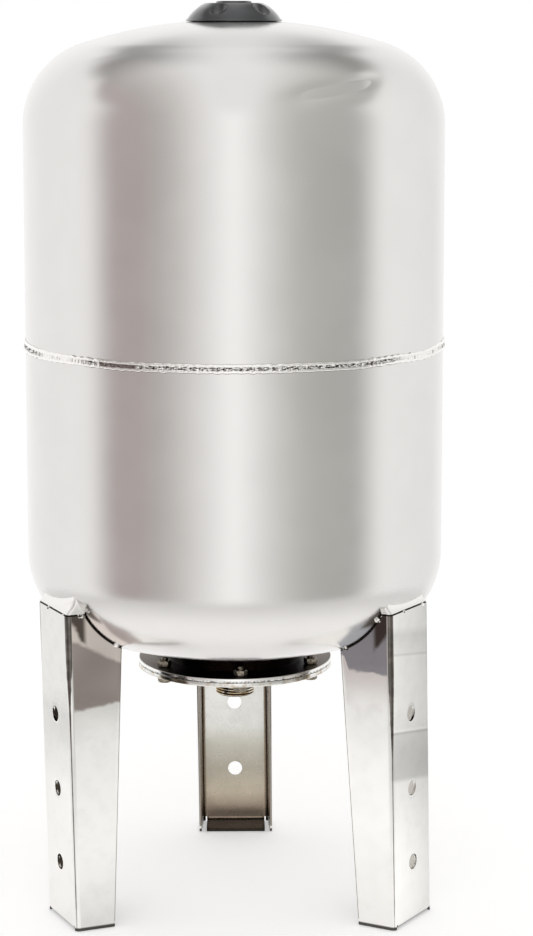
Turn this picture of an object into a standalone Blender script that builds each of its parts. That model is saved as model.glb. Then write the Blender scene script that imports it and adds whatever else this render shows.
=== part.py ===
"""Well pressure tank: a dished stainless vessel with a rubber water bag, a bolted
water flange underneath, an air valve under a screw cap on top and three folded legs.

Metres, +Z up. The origin is on the floor, on the tank's axis. The front is -Y, and an
azimuth runs from the front (-Y) towards +X. Run it with
blender --background --python part.py, or from the text editor.
"""
import math

import bmesh
import bpy
from mathutils import Matrix, Vector

MM = 0.001

# Tank body
TANK_RADIUS = 175.0 * MM
SHELL_WALL = 1.2 * MM
SIDE_HEIGHT = 357.8 * MM
CROWN_RADIUS = 420.0 * MM
KNUCKLE_RADIUS = 70.5 * MM
CROWN_CLEARANCE = 209.6 * MM

# Girth joint: the lower half has a joggled rim that slips into the upper half
SEAM_RISE = 176.5 * MM
JOGGLE_LAP = 12.0 * MM
SEAM_HALF_GAP = 0.5 * MM
BEAD_HEIGHT = 7.8 * MM
BEAD_CREST = 1.8 * MM
BEAD_VALLEY = 1.1 * MM

# Clearance that two touching pieces keep
SEAT_GAP = 0.3 * MM

# Water flange
FLANGE_RADIUS = 82.6 * MM
FLANGE_DROP = 7.8 * MM
NECK_PLATE = 3.2 * MM
NECK_BORE_RADIUS = 54.0 * MM
NECK_TUBE_WALL = 3.0 * MM
WELD_LEG = 3.2 * MM
COUNTER_PLATE = 3.6 * MM
BAG_GROOVE_RADIUS = 61.0 * MM
BAG_GROOVE_DEPTH = 4.0 * MM
PRESSED_SLOPE = 2.0 * MM
PLATE_EDGE = 0.8 * MM

# Flange bolts
BOLT_COUNT = 6
BOLT_CIRCLE_RADIUS = 71.0 * MM
FIRST_BOLT_AZIMUTH = math.radians(3.6)
BOLT_RADIUS = 3.0 * MM
BOLT_HOLE_PLAY = 0.4 * MM
HEX_ACROSS_FLATS = 10.0 * MM
HEAD_HEIGHT = 4.0 * MM
NUT_HEIGHT = 5.0 * MM
WASHER_RADIUS = 6.2 * MM
WASHER_THICKNESS = 1.4 * MM
BOLT_OVERRUN = 2.6 * MM
HEX_CHAMFER = 0.6 * MM

# Water nipple, a G1 pipe thread
NIPPLE_RADIUS = 16.6 * MM
NIPPLE_BORE_RADIUS = 12.5 * MM
NIPPLE_REACH = 22.0 * MM
NIPPLE_CHAMFER = 1.2 * MM

# Water bag
BAG_SIDE_CLEARANCE = 23.8 * MM
BAG_FLOOR_CLEARANCE = 8.0 * MM
BAG_AIR_SPACE = 122.8 * MM
BAG_WALL = 2.0 * MM
BAG_NECK_PLAY = 2.0 * MM
BAG_LIP_INSET = 1.0 * MM
BAG_MOUTH_LAND = 2.0 * MM

# Legs, folded from one sheet each
LEG_AZIMUTHS = {"leg_front_left": -57.5, "leg_front_right": 56.5, "leg_back": 180.0}
LEG_TURNS = {"leg_front_left": -5.0, "leg_front_right": 4.0, "leg_back": 0.0}
LEG_INSET = 3.0 * MM
LEG_TOP_DROP = 32.1 * MM
LEG_WIDTH = 63.0 * MM
LEG_SHEET = 2.0 * MM
LEG_BEND_RADIUS = 4.0 * MM
FLANGE_DEPTH_FLOOR = 33.5 * MM
FLANGE_TAPER = 0.055
FLANGE_SPLAY = math.radians(3.2)
LEG_LEAN = 0.020
FOOT_TAB_OVERHANG = 0.5 * MM
FOOT_RELIEF = 1.0 * MM
LEG_HOLE_RADIUS = 6.5 * MM
LEG_HOLE_FIRST = 50.5 * MM
LEG_HOLE_PITCH = 63.0 * MM
LEG_HOLE_COUNT = 3
TACK_RADIUS = 3.6 * MM
TACK_BITE = 2.2 * MM
WEB_TACKS = (-0.29, 0.73)
FLANGE_TACKS = (0.18, 0.88)

# Air valve
VALVE_PORT_RADIUS = 8.0 * MM
BOSS_RADIUS = 11.0 * MM
BOSS_HEIGHT = 6.0 * MM
BOSS_SPIGOT = 2.0 * MM
BOSS_WELD = 2.2 * MM
STEM_RADIUS = 4.0 * MM
STEM_TAIL = 6.0 * MM
VALVE_HEX_ACROSS_FLATS = 11.0 * MM
VALVE_HEX_HEIGHT = 2.5 * MM
VALVE_TIP_RADIUS = 3.85 * MM
VALVE_TIP_HEIGHT = 3.5 * MM
VALVE_BORE_RADIUS = 2.4 * MM
VALVE_VENT_RADIUS = 1.3 * MM
VALVE_LEDGE = 2.0 * MM
CORE_LENGTH = 7.0 * MM
CORE_SINK = 1.8 * MM
PIN_RADIUS = 0.9 * MM
PIN_PLAY = 0.36 * MM
PIN_SINK = 0.5 * MM
POPPET_RADIUS = 1.8 * MM
POPPET_HEIGHT = 0.8 * MM
PIN_TAIL_RADIUS = 0.6 * MM
PIN_TAIL = 2.0 * MM
SPRING_RADIUS = 1.35 * MM
SPRING_WIRE_RADIUS = 0.22 * MM
SPRING_TURNS = 5

# Screw cap
CAP_RADIUS = 40.0 * MM
CAP_LIP = 1.5 * MM
CAP_LIP_STEP = 1.2 * MM
CAP_HEAD_ROOM = 0.5 * MM
CAP_WALL = 2.4 * MM
CAP_CROWN_RADIUS = 24.0 * MM
CAP_BULGE = 1.5 * MM
CAP_DISC_RADIUS = 15.0 * MM
CAP_DISC_HEIGHT = 1.7 * MM
CAP_HUB_WALL = 2.7 * MM
CAP_HUB_LIFT = 0.5 * MM
RECESS_COUNT = 5
FIRST_RECESS_AZIMUTH = math.radians(-24.0)
RECESS_BALL_RADIUS = 9.0 * MM
RECESS_CIRCLE_RADIUS = 34.0 * MM
RECESS_DROP = 0.9 * MM

# Facets round a turn
TANK_STEPS = 40
FLANGE_STEPS = 36
CAP_STEPS = 30
BAG_STEPS = 16
SMALL_STEPS = 20
VALVE_STEPS = 12

# Heights that follow from the sizes above
CROWN_CENTRE_DEPTH = math.sqrt((CROWN_RADIUS - KNUCKLE_RADIUS) ** 2
                               - (TANK_RADIUS - KNUCKLE_RADIUS) ** 2)
HEAD_HEIGHT_Z = CROWN_RADIUS - CROWN_CENTRE_DEPTH
LOWER_TANGENT_Z = CROWN_CLEARANCE + HEAD_HEIGHT_Z
UPPER_TANGENT_Z = LOWER_TANGENT_Z + SIDE_HEIGHT
CROWN_TOP_Z = UPPER_TANGENT_Z + HEAD_HEIGHT_Z
SEAM_Z = LOWER_TANGENT_Z + SEAM_RISE
FLANGE_TOP_Z = CROWN_CLEARANCE - FLANGE_DROP
NECK_UNDER_Z = FLANGE_TOP_Z - NECK_PLATE
COUNTER_TOP_Z = NECK_UNDER_Z - SEAT_GAP
COUNTER_UNDER_Z = COUNTER_TOP_Z - COUNTER_PLATE
GROOVE_FLOOR_Z = COUNTER_TOP_Z - BAG_GROOVE_DEPTH
DISC_UNDER_Z = GROOVE_FLOOR_Z - COUNTER_PLATE
NIPPLE_END_Z = DISC_UNDER_Z - NIPPLE_REACH
BAG_RADIUS = TANK_RADIUS - SHELL_WALL - BAG_SIDE_CLEARANCE
BAG_FLOOR_Z = CROWN_CLEARANCE + BAG_FLOOR_CLEARANCE
BAG_HALF_HEIGHT = 0.5 * (CROWN_TOP_Z - BAG_AIR_SPACE - BAG_FLOOR_Z)
LEG_WEB_RADIUS = TANK_RADIUS - LEG_INSET
LEG_HEIGHT = LOWER_TANGENT_Z - LEG_TOP_DROP
FOOT_TAB_DEPTH = FLANGE_DEPTH_FLOOR + FOOT_TAB_OVERHANG
BOSS_TOP_Z = CROWN_TOP_Z + BOSS_HEIGHT
VALVE_HEX_UNDER_Z = BOSS_TOP_Z + SEAT_GAP
VALVE_HEX_TOP_Z = VALVE_HEX_UNDER_Z + VALVE_HEX_HEIGHT
VALVE_TIP_Z = VALVE_HEX_TOP_Z + VALVE_TIP_HEIGHT

PARTS = None
CUTTERS = None


def clear_scene():
    for item in list(bpy.data.objects):
        bpy.data.objects.remove(item, do_unlink=True)


def new_collection(name):
    collection = bpy.data.collections.new(name)
    bpy.context.scene.collection.children.link(collection)
    return collection


def make_material(name, color, roughness, metallic):
    material = bpy.data.materials.new(name)
    material.use_nodes = True
    shader = material.node_tree.nodes["Principled BSDF"]
    shader.inputs["Base Color"].default_value = (*color, 1.0)
    shader.inputs["Roughness"].default_value = roughness
    shader.inputs["Metallic"].default_value = metallic
    return material


def satin_steel(name):
    return make_material(name, (0.62, 0.60, 0.57), 0.28, 1.0)


def bright_steel(name):
    return make_material(name, (0.70, 0.69, 0.67), 0.12, 1.0)


def zinc_steel(name):
    return make_material(name, (0.55, 0.54, 0.50), 0.35, 1.0)


def brass(name):
    return make_material(name, (0.66, 0.47, 0.20), 0.30, 1.0)


def black_rubber(name):
    return make_material(name, (0.02, 0.02, 0.02), 0.70, 0.0)


def grey_plastic(name):
    return make_material(name, (0.05, 0.055, 0.06), 0.25, 0.0)


def add_part(name, mesh, finish):
    part = bpy.data.objects.new(name, mesh)
    PARTS.objects.link(part)
    if not mesh.materials:
        mesh.materials.append(finish(name))
    return part


def add_cutter(name, mesh):
    cutter = bpy.data.objects.new(name, mesh)
    CUTTERS.objects.link(cutter)
    cutter.hide_render = True
    cutter.display_type = 'WIRE'
    return cutter


def profile_mesh(name, points, closed):
    """Mesh of edges through (radius, height) points in the XZ plane."""
    mesh = bpy.data.meshes.new(name)
    count = len(points)
    edges = [(i, i + 1) for i in range(count - 1)]
    if closed:
        edges.append((count - 1, 0))
    mesh.from_pydata([(r, 0.0, z) for r, z in points], edges, [])
    return mesh


def turn(item, steps):
    """Screw the profile a full turn round Z."""
    screw = item.modifiers.new("turned", 'SCREW')
    screw.axis = 'Z'
    screw.steps = steps
    screw.render_steps = steps
    screw.use_merge_vertices = True
    screw.merge_threshold = 0.01 * MM
    screw.use_smooth_shade = True


def thicken(item, wall):
    """Give an open skin a wall on its inner side."""
    solid = item.modifiers.new("wall", 'SOLIDIFY')
    solid.thickness = wall
    solid.offset = -1.0
    solid.use_even_offset = True
    solid.use_quality_normals = True


def combine(item, cutter, operation):
    step = item.modifiers.new(cutter.name, 'BOOLEAN')
    step.operation = operation
    step.solver = 'EXACT'
    step.object = cutter


def turned_part(name, points, steps, finish, closed=True):
    part = add_part(name, profile_mesh(name, points, closed), finish)
    turn(part, steps)
    return part


def turned_cutter(name, points, steps, closed=False):
    cutter = add_cutter(name, profile_mesh(name, points, closed))
    turn(cutter, steps)
    return cutter


def bench_mesh(item):
    """Freeze an object's modifiers into a mesh that several objects can share."""
    depsgraph = bpy.context.evaluated_depsgraph_get()
    return bpy.data.meshes.new_from_object(item.evaluated_get(depsgraph))


def drum(name, radius, low, high, sides, spots):
    """Mesh of upright closed cylinders, one at each (x, y) spot."""
    mesh = bpy.data.meshes.new(name)
    work = bmesh.new()
    for x, y in spots:
        middle = Matrix.Translation((x, y, 0.5 * (low + high)))
        bmesh.ops.create_cone(work, cap_ends=True, segments=sides, radius1=radius,
                              radius2=radius, depth=high - low, matrix=middle)
    work.to_mesh(mesh)
    work.free()
    return mesh


def ball_mesh(name, radius, spots, across, up):
    """Mesh of closed spheres, one centred on each spot."""
    mesh = bpy.data.meshes.new(name)
    work = bmesh.new()
    for spot in spots:
        bmesh.ops.create_uvsphere(work, u_segments=across, v_segments=up, radius=radius,
                                  matrix=Matrix.Translation(spot))
    work.to_mesh(mesh)
    work.free()
    return mesh


def on_circle(radius, azimuth):
    """Point at an azimuth that runs from -Y towards +X."""
    return radius * math.sin(azimuth), -radius * math.cos(azimuth)


def head_profile(offset, start_radius, crown_steps=2, knuckle_steps=5):
    """Dished head from start_radius out to the tangent, as (radius, rise) points.

    The crown is an arc of CROWN_RADIUS about the axis, and the knuckle an arc of
    KNUCKLE_RADIUS that touches it and the straight side. offset grows both.
    """
    crown = CROWN_RADIUS + offset
    knuckle = KNUCKLE_RADIUS + offset
    knuckle_centre = TANK_RADIUS - KNUCKLE_RADIUS
    join = math.asin(knuckle_centre / (CROWN_RADIUS - KNUCKLE_RADIUS))
    first = math.asin(start_radius / crown)
    points = []
    for i in range(crown_steps):
        angle = first + (join - first) * i / crown_steps
        points.append((crown * math.sin(angle), crown * math.cos(angle) - CROWN_CENTRE_DEPTH))
    for i in range(knuckle_steps + 1):
        angle = join + (0.5 * math.pi - join) * i / knuckle_steps
        points.append((knuckle_centre + knuckle * math.sin(angle), knuckle * math.cos(angle)))
    return points


def head_rise(radius, offset=0.0):
    """Rise of the dished head above its tangent at a radius."""
    knuckle_centre = TANK_RADIUS - KNUCKLE_RADIUS
    join = math.asin(knuckle_centre / (CROWN_RADIUS - KNUCKLE_RADIUS))
    crown = CROWN_RADIUS + offset
    if radius <= crown * math.sin(join):
        return math.sqrt(crown ** 2 - radius ** 2) - CROWN_CENTRE_DEPTH
    knuckle = KNUCKLE_RADIUS + offset
    return math.sqrt(max(knuckle ** 2 - (radius - knuckle_centre) ** 2, 0.0))


def belly_z(radius, offset=0.0):
    return LOWER_TANGENT_Z - head_rise(radius, offset)


def top_z(radius, offset=0.0):
    return UPPER_TANGENT_Z + head_rise(radius, offset)


def belly_radius(z):
    """Radius of the lower head's knuckle at a height."""
    drop = LOWER_TANGENT_Z - z
    return TANK_RADIUS - KNUCKLE_RADIUS + math.sqrt(KNUCKLE_RADIUS ** 2 - drop ** 2)


def make_shells():
    upper = [(r, UPPER_TANGENT_Z + rise) for r, rise in head_profile(0.0, VALVE_PORT_RADIUS)]
    upper.append((TANK_RADIUS, SEAM_Z + SEAM_HALF_GAP))
    thicken(turned_part("upper_shell", upper, TANK_STEPS, satin_steel, closed=False), SHELL_WALL)

    spigot = TANK_RADIUS - SHELL_WALL - SEAT_GAP
    shoulder = SEAM_Z + SEAM_HALF_GAP - SEAT_GAP
    lower = [(spigot, SEAM_Z + JOGGLE_LAP), (spigot, shoulder)]
    lower.append((TANK_RADIUS, shoulder - (TANK_RADIUS - spigot)))
    belly = [(r, LOWER_TANGENT_Z - rise) for r, rise in head_profile(0.0, NECK_BORE_RADIUS)]
    lower += reversed(belly)
    thicken(turned_part("lower_shell", lower, TANK_STEPS, satin_steel, closed=False), SHELL_WALL)


def make_girth_weld():
    """Bead with two crests, and a root that runs into the seam's gap."""
    inner = TANK_RADIUS + SEAT_GAP
    half = 0.5 * BEAD_HEIGHT
    root = SEAM_HALF_GAP - SEAT_GAP
    root_radius = TANK_RADIUS - 0.5 * SHELL_WALL
    crest = TANK_RADIUS + BEAD_CREST
    valley = TANK_RADIUS + BEAD_VALLEY
    shape = [(inner, half), (crest, 0.60 * half), (valley, 0.15 * half),
             (valley, -0.15 * half), (crest, -0.60 * half), (inner, -half),
             (inner, -root), (root_radius, -root), (root_radius, root), (inner, root)]
    turned_part("girth_weld", [(r, SEAM_Z + z) for r, z in shape], TANK_STEPS, satin_steel)


def bolt_spots():
    turns = [FIRST_BOLT_AZIMUTH + math.tau * i / BOLT_COUNT for i in range(BOLT_COUNT)]
    return [on_circle(BOLT_CIRCLE_RADIUS, azimuth) for azimuth in turns]


def make_flanges():
    tube = NECK_BORE_RADIUS + NECK_TUBE_WALL
    fillet = WELD_LEG * 0.6
    neck = [(NECK_BORE_RADIUS, belly_z(NECK_BORE_RADIUS) - SEAT_GAP),
            (tube + WELD_LEG, belly_z(tube + WELD_LEG) - SEAT_GAP),
            (tube, belly_z(tube) - SEAT_GAP - WELD_LEG),
            (tube, FLANGE_TOP_Z + fillet), (tube + fillet, FLANGE_TOP_Z),
            (FLANGE_RADIUS - PLATE_EDGE, FLANGE_TOP_Z), (FLANGE_RADIUS, FLANGE_TOP_Z - PLATE_EDGE),
            (FLANGE_RADIUS, NECK_UNDER_Z), (NECK_BORE_RADIUS, NECK_UNDER_Z)]
    neck_ring = turned_part("neck_ring", neck, FLANGE_STEPS, zinc_steel)

    foot = BAG_GROOVE_RADIUS + PRESSED_SLOPE
    bore = NIPPLE_RADIUS + SEAT_GAP
    counter = [(foot, COUNTER_TOP_Z), (FLANGE_RADIUS, COUNTER_TOP_Z),
               (FLANGE_RADIUS, COUNTER_UNDER_Z + PLATE_EDGE),
               (FLANGE_RADIUS - PLATE_EDGE, COUNTER_UNDER_Z), (foot, COUNTER_UNDER_Z),
               (BAG_GROOVE_RADIUS, DISC_UNDER_Z), (bore, DISC_UNDER_Z),
               (bore, GROOVE_FLOOR_Z), (BAG_GROOVE_RADIUS, GROOVE_FLOOR_Z)]
    counter_flange = turned_part("counter_flange", counter, FLANGE_STEPS, bright_steel)

    holes = add_cutter("bolt_holes", drum("bolt_holes", BOLT_RADIUS + BOLT_HOLE_PLAY,
                                          COUNTER_UNDER_Z - NECK_PLATE, FLANGE_TOP_Z + NECK_PLATE,
                                          VALVE_STEPS, bolt_spots()))
    combine(neck_ring, holes, 'DIFFERENCE')
    combine(counter_flange, holes, 'DIFFERENCE')


def make_nipple():
    weld_under = DISC_UNDER_Z - SEAT_GAP
    tip = NIPPLE_RADIUS - NIPPLE_CHAMFER
    shape = [(NIPPLE_BORE_RADIUS, GROOVE_FLOOR_Z), (NIPPLE_RADIUS, GROOVE_FLOOR_Z),
             (NIPPLE_RADIUS, weld_under), (NIPPLE_RADIUS + WELD_LEG, weld_under),
             (NIPPLE_RADIUS, weld_under - WELD_LEG),
             (NIPPLE_RADIUS, NIPPLE_END_Z + NIPPLE_CHAMFER), (tip, NIPPLE_END_Z),
             (NIPPLE_BORE_RADIUS, NIPPLE_END_Z)]
    turned_part("water_nipple", shape, SMALL_STEPS, bright_steel)


def make_bag():
    """Bag of elliptic outline whose lip is held between the two flange plates."""
    neck = NECK_BORE_RADIUS - BAG_NECK_PLAY
    centre_z = BAG_FLOOR_Z + BAG_HALF_HEIGHT
    lip_radius = BAG_GROOVE_RADIUS - BAG_LIP_INSET

    def side(inset, steps=6):
        radius = BAG_RADIUS - inset
        height = BAG_HALF_HEIGHT - inset
        last = -math.acos((neck - inset) / radius)
        turns = [0.5 * math.pi + (last - 0.5 * math.pi) * i / steps for i in range(steps + 1)]
        curve = [(radius * math.cos(a), centre_z + height * math.sin(a)) for a in turns]
        return [(0.0, centre_z + height)] + curve[1:]

    outer = side(0.0) + [(neck, NECK_UNDER_Z - SEAT_GAP), (lip_radius, NECK_UNDER_Z - SEAT_GAP)]
    lip_under = GROOVE_FLOOR_Z + SEAT_GAP
    inner = [(lip_radius, lip_under), (neck - BAG_WALL - BAG_MOUTH_LAND, lip_under),
             (neck - BAG_WALL, NECK_UNDER_Z)] + list(reversed(side(BAG_WALL)))
    turned_part("water_bag", outer + inner, BAG_STEPS, black_rubber, closed=False)


def hexagon(name, across_flats, low, high, chamfer, outer_end):
    """Hexagonal prism whose corners are turned off at its outer end, 'high' or 'low'."""
    corner = across_flats / math.cos(math.pi / 6) / 2
    prism = add_cutter(name, drum(name, corner, low, high, 6, [(0.0, 0.0)]))
    flat = across_flats / 2
    wide = corner + chamfer
    if outer_end == "high":
        barrel = [(0.0, high), (flat, high), (wide, high - 2.0 * chamfer), (wide, low), (0.0, low)]
    else:
        barrel = [(0.0, high), (wide, high), (wide, low + 2.0 * chamfer), (flat, low), (0.0, low)]
    combine(prism, turned_cutter(name + "_barrel", barrel, VALVE_STEPS), 'INTERSECT')
    return prism


def make_bolts():
    washer_top = COUNTER_UNDER_Z - SEAT_GAP
    washer_under = washer_top - WASHER_THICKNESS
    head_top = washer_under - SEAT_GAP
    nut_under = FLANGE_TOP_Z + SEAT_GAP
    nut_top = nut_under + NUT_HEIGHT
    shank_top = nut_top + BOLT_OVERRUN
    end = 0.5 * BOLT_RADIUS

    shank = turned_cutter("bolt_shank", [(0.0, shank_top), (BOLT_RADIUS - end * 0.5, shank_top),
                                         (BOLT_RADIUS, shank_top - end * 0.5),
                                         (BOLT_RADIUS, head_top - 0.5 * HEAD_HEIGHT),
                                         (0.0, head_top - 0.5 * HEAD_HEIGHT)], VALVE_STEPS)
    head = hexagon("bolt_head", HEX_ACROSS_FLATS, head_top - HEAD_HEIGHT, head_top,
                   HEX_CHAMFER, "low")
    combine(head, shank, 'UNION')
    bolt_mesh = bench_mesh(head)

    nut = hexagon("nut_blank", HEX_ACROSS_FLATS, nut_under, nut_top, HEX_CHAMFER, "high")
    thread = add_cutter("nut_thread", drum("nut_thread", BOLT_RADIUS + SEAT_GAP,
                                           nut_under - end, nut_top + end,
                                           VALVE_STEPS, [(0.0, 0.0)]))
    combine(nut, thread, 'DIFFERENCE')
    nut_mesh = bench_mesh(nut)

    hole = BOLT_RADIUS + SEAT_GAP
    ring = turned_cutter("washer_blank", [(hole, washer_top), (WASHER_RADIUS, washer_top),
                                          (WASHER_RADIUS, washer_under), (hole, washer_under)],
                         VALVE_STEPS, closed=True)
    washer_mesh = bench_mesh(ring)

    for number, (x, y) in enumerate(bolt_spots(), start=1):
        for name, mesh, finish in (("bolt", bolt_mesh, zinc_steel), ("nut", nut_mesh, zinc_steel),
                                   ("washer", washer_mesh, zinc_steel)):
            part = add_part(f"{name}_{number}", mesh, finish)
            part.location = (x, y, 0.0)


def leg_outline(depth):
    """Outer outline of the folded channel seen from above, as (x, y) points.

    The web lies on x = 0 and faces +X. Each side flange leaves it over a bend and
    opens outwards by FLANGE_SPLAY until it lies depth behind the web.
    """
    bend = 0.5 * math.pi - FLANGE_SPLAY
    tangent = LEG_BEND_RADIUS * math.tan(0.5 * bend)
    arc_y = 0.5 * LEG_WIDTH - tangent
    bend_steps = 3
    half = []
    for i in range(bend_steps + 1):
        angle = bend * i / bend_steps
        half.append((LEG_BEND_RADIUS * (math.cos(angle) - 1.0),
                     arc_y + LEG_BEND_RADIUS * math.sin(angle)))
    x_end, y_end = half[-1]
    run = depth + x_end
    half.append((-depth, y_end + run * math.tan(FLANGE_SPLAY)))
    return half


def leg_skin(name, lean):
    """Open outer skin of one leg: channel, and the foot tab folded in under it."""
    fold_z = LEG_BEND_RADIUS
    heights = (0.0, fold_z, LEG_HEIGHT)
    skin = bmesh.new()
    rows = []
    for z in heights:
        half = leg_outline(FLANGE_DEPTH_FLOOR + FLANGE_TAPER * z)
        relief = (0.0, half[0][1] - FOOT_RELIEF)
        right = half[::-1] + [relief]
        path = right + [(x, -y) for x, y in reversed(right)]
        rows.append([skin.verts.new((x, y, z)) for x, y in path])
    corner = len(rows[0]) // 2 - 1
    for low, high in zip(rows, rows[1:]):
        for i in range(len(low) - 1):
            in_web = corner - 1 <= i <= corner + 1
            if in_web and low is rows[0]:
                continue
            skin.faces.new((low[i], high[i], high[i + 1], low[i + 1]))

    last = [rows[1][corner], rows[1][corner + 1]]
    fold_steps = 3
    tab = [(fold_z * (math.cos(a) - 1.0), fold_z * (1.0 - math.sin(a)))
           for a in (0.5 * math.pi * i / fold_steps for i in range(1, fold_steps + 1))]
    tab.append((-FOOT_TAB_DEPTH, 0.0))
    for x, z in tab:
        edge = [skin.verts.new((x, vert.co.y, z)) for vert in last]
        skin.faces.new((edge[0], last[0], last[1], edge[1]))
        last = edge
    bmesh.ops.delete(skin, geom=[v for v in skin.verts if not v.link_faces], context='VERTS')
    for vert in skin.verts:
        vert.co += lean_shift(lean, vert.co.z)
    bmesh.ops.recalc_face_normals(skin, faces=skin.faces)
    outward = max(skin.faces, key=lambda face: face.calc_area())
    if outward.normal.x < 0.0 and abs(outward.normal.x) > 0.5:
        bmesh.ops.reverse_faces(skin, faces=skin.faces)
    mesh = bpy.data.meshes.new(name)
    skin.to_mesh(mesh)
    skin.free()
    return mesh


def lean_shift(lean, z):
    """Sideways place of a leaning leg at a height, level with its middle."""
    return lean * (0.5 * LEG_HEIGHT - z)


def tack_spots(leg, lean):
    """Centres of the weld tacks on the web's top edge and down both side flanges."""
    spots = []
    for along in WEB_TACKS:
        on_web = Vector((-0.5 * LEG_SHEET, along * 0.5 * LEG_WIDTH, LEG_HEIGHT))
        on_web = leg.matrix_world @ (on_web + lean_shift(lean, LEG_HEIGHT))
        reach = math.hypot(on_web.x, on_web.y)
        inward = max(0.5 * (reach + belly_radius(LEG_HEIGHT)), reach - TACK_BITE) / reach
        spots.append(Vector((on_web.x * inward, on_web.y * inward, on_web.z)))
    for along in FLANGE_TACKS:
        for side in (-1.0, 1.0):
            z = LEG_HEIGHT
            for _ in range(4):
                root, tip = leg_outline(FLANGE_DEPTH_FLOOR + FLANGE_TAPER * z)[-2:]
                x, y = Vector(root).lerp(Vector(tip), along)
                spot = leg.matrix_world @ (Vector((x, side * y, 0.0)) + lean_shift(lean, z))
                z = min(belly_z(math.hypot(spot.x, spot.y), SEAT_GAP), LEG_HEIGHT)
            spots.append(Vector((spot.x, spot.y, z)))
    return spots


def make_legs():
    belly = [(0.0, SEAM_Z), (TANK_RADIUS + SEAT_GAP, SEAM_Z)]
    belly += [(r, LOWER_TANGENT_Z - rise)
              for r, rise in reversed(head_profile(SEAT_GAP, NECK_BORE_RADIUS))]
    belly.append((0.0, belly[-1][1]))
    belly_cutter = turned_cutter("belly_cutter", belly, TANK_STEPS)
    for name, azimuth in LEG_AZIMUTHS.items():
        x, y = on_circle(LEG_WEB_RADIUS, math.radians(azimuth))
        turn_angle = math.radians(azimuth + LEG_TURNS[name] - 90.0)
        lean = Matrix.Rotation(-turn_angle, 3, 'Z') @ Vector((LEG_LEAN, 0.0, 0.0))
        leg = add_part(name, leg_skin(name, lean), bright_steel)
        leg.location = (x, y, 0.0)
        leg.rotation_euler = (0.0, 0.0, turn_angle)
        bpy.context.view_layer.update()
        thicken(leg, LEG_SHEET)
        tacks = add_cutter(name + "_tacks", ball_mesh(name + "_tacks", TACK_RADIUS,
                                                      tack_spots(leg, lean), 6, 4))
        combine(leg, tacks, 'UNION')
        combine(leg, belly_cutter, 'DIFFERENCE')
        combine(leg, leg_hole_cutter(name, leg, lean), 'DIFFERENCE')


def leg_hole_cutter(name, leg, lean):
    """Row of drills across the web."""
    work = bmesh.new()
    for i in range(LEG_HOLE_COUNT):
        z = LEG_HOLE_FIRST + i * LEG_HOLE_PITCH
        shift = lean_shift(lean, z)
        place = Matrix.Translation((shift.x, shift.y, z)) @ Matrix.Rotation(0.5 * math.pi, 4, 'Y')
        bmesh.ops.create_cone(work, cap_ends=True, segments=SMALL_STEPS, radius1=LEG_HOLE_RADIUS,
                              radius2=LEG_HOLE_RADIUS, depth=6.0 * LEG_SHEET, matrix=place)
    mesh = bpy.data.meshes.new(name + "_drills")
    work.to_mesh(mesh)
    work.free()
    cutter = add_cutter(name + "_drills", mesh)
    cutter.location = leg.location
    cutter.rotation_euler = leg.rotation_euler
    return cutter


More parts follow.
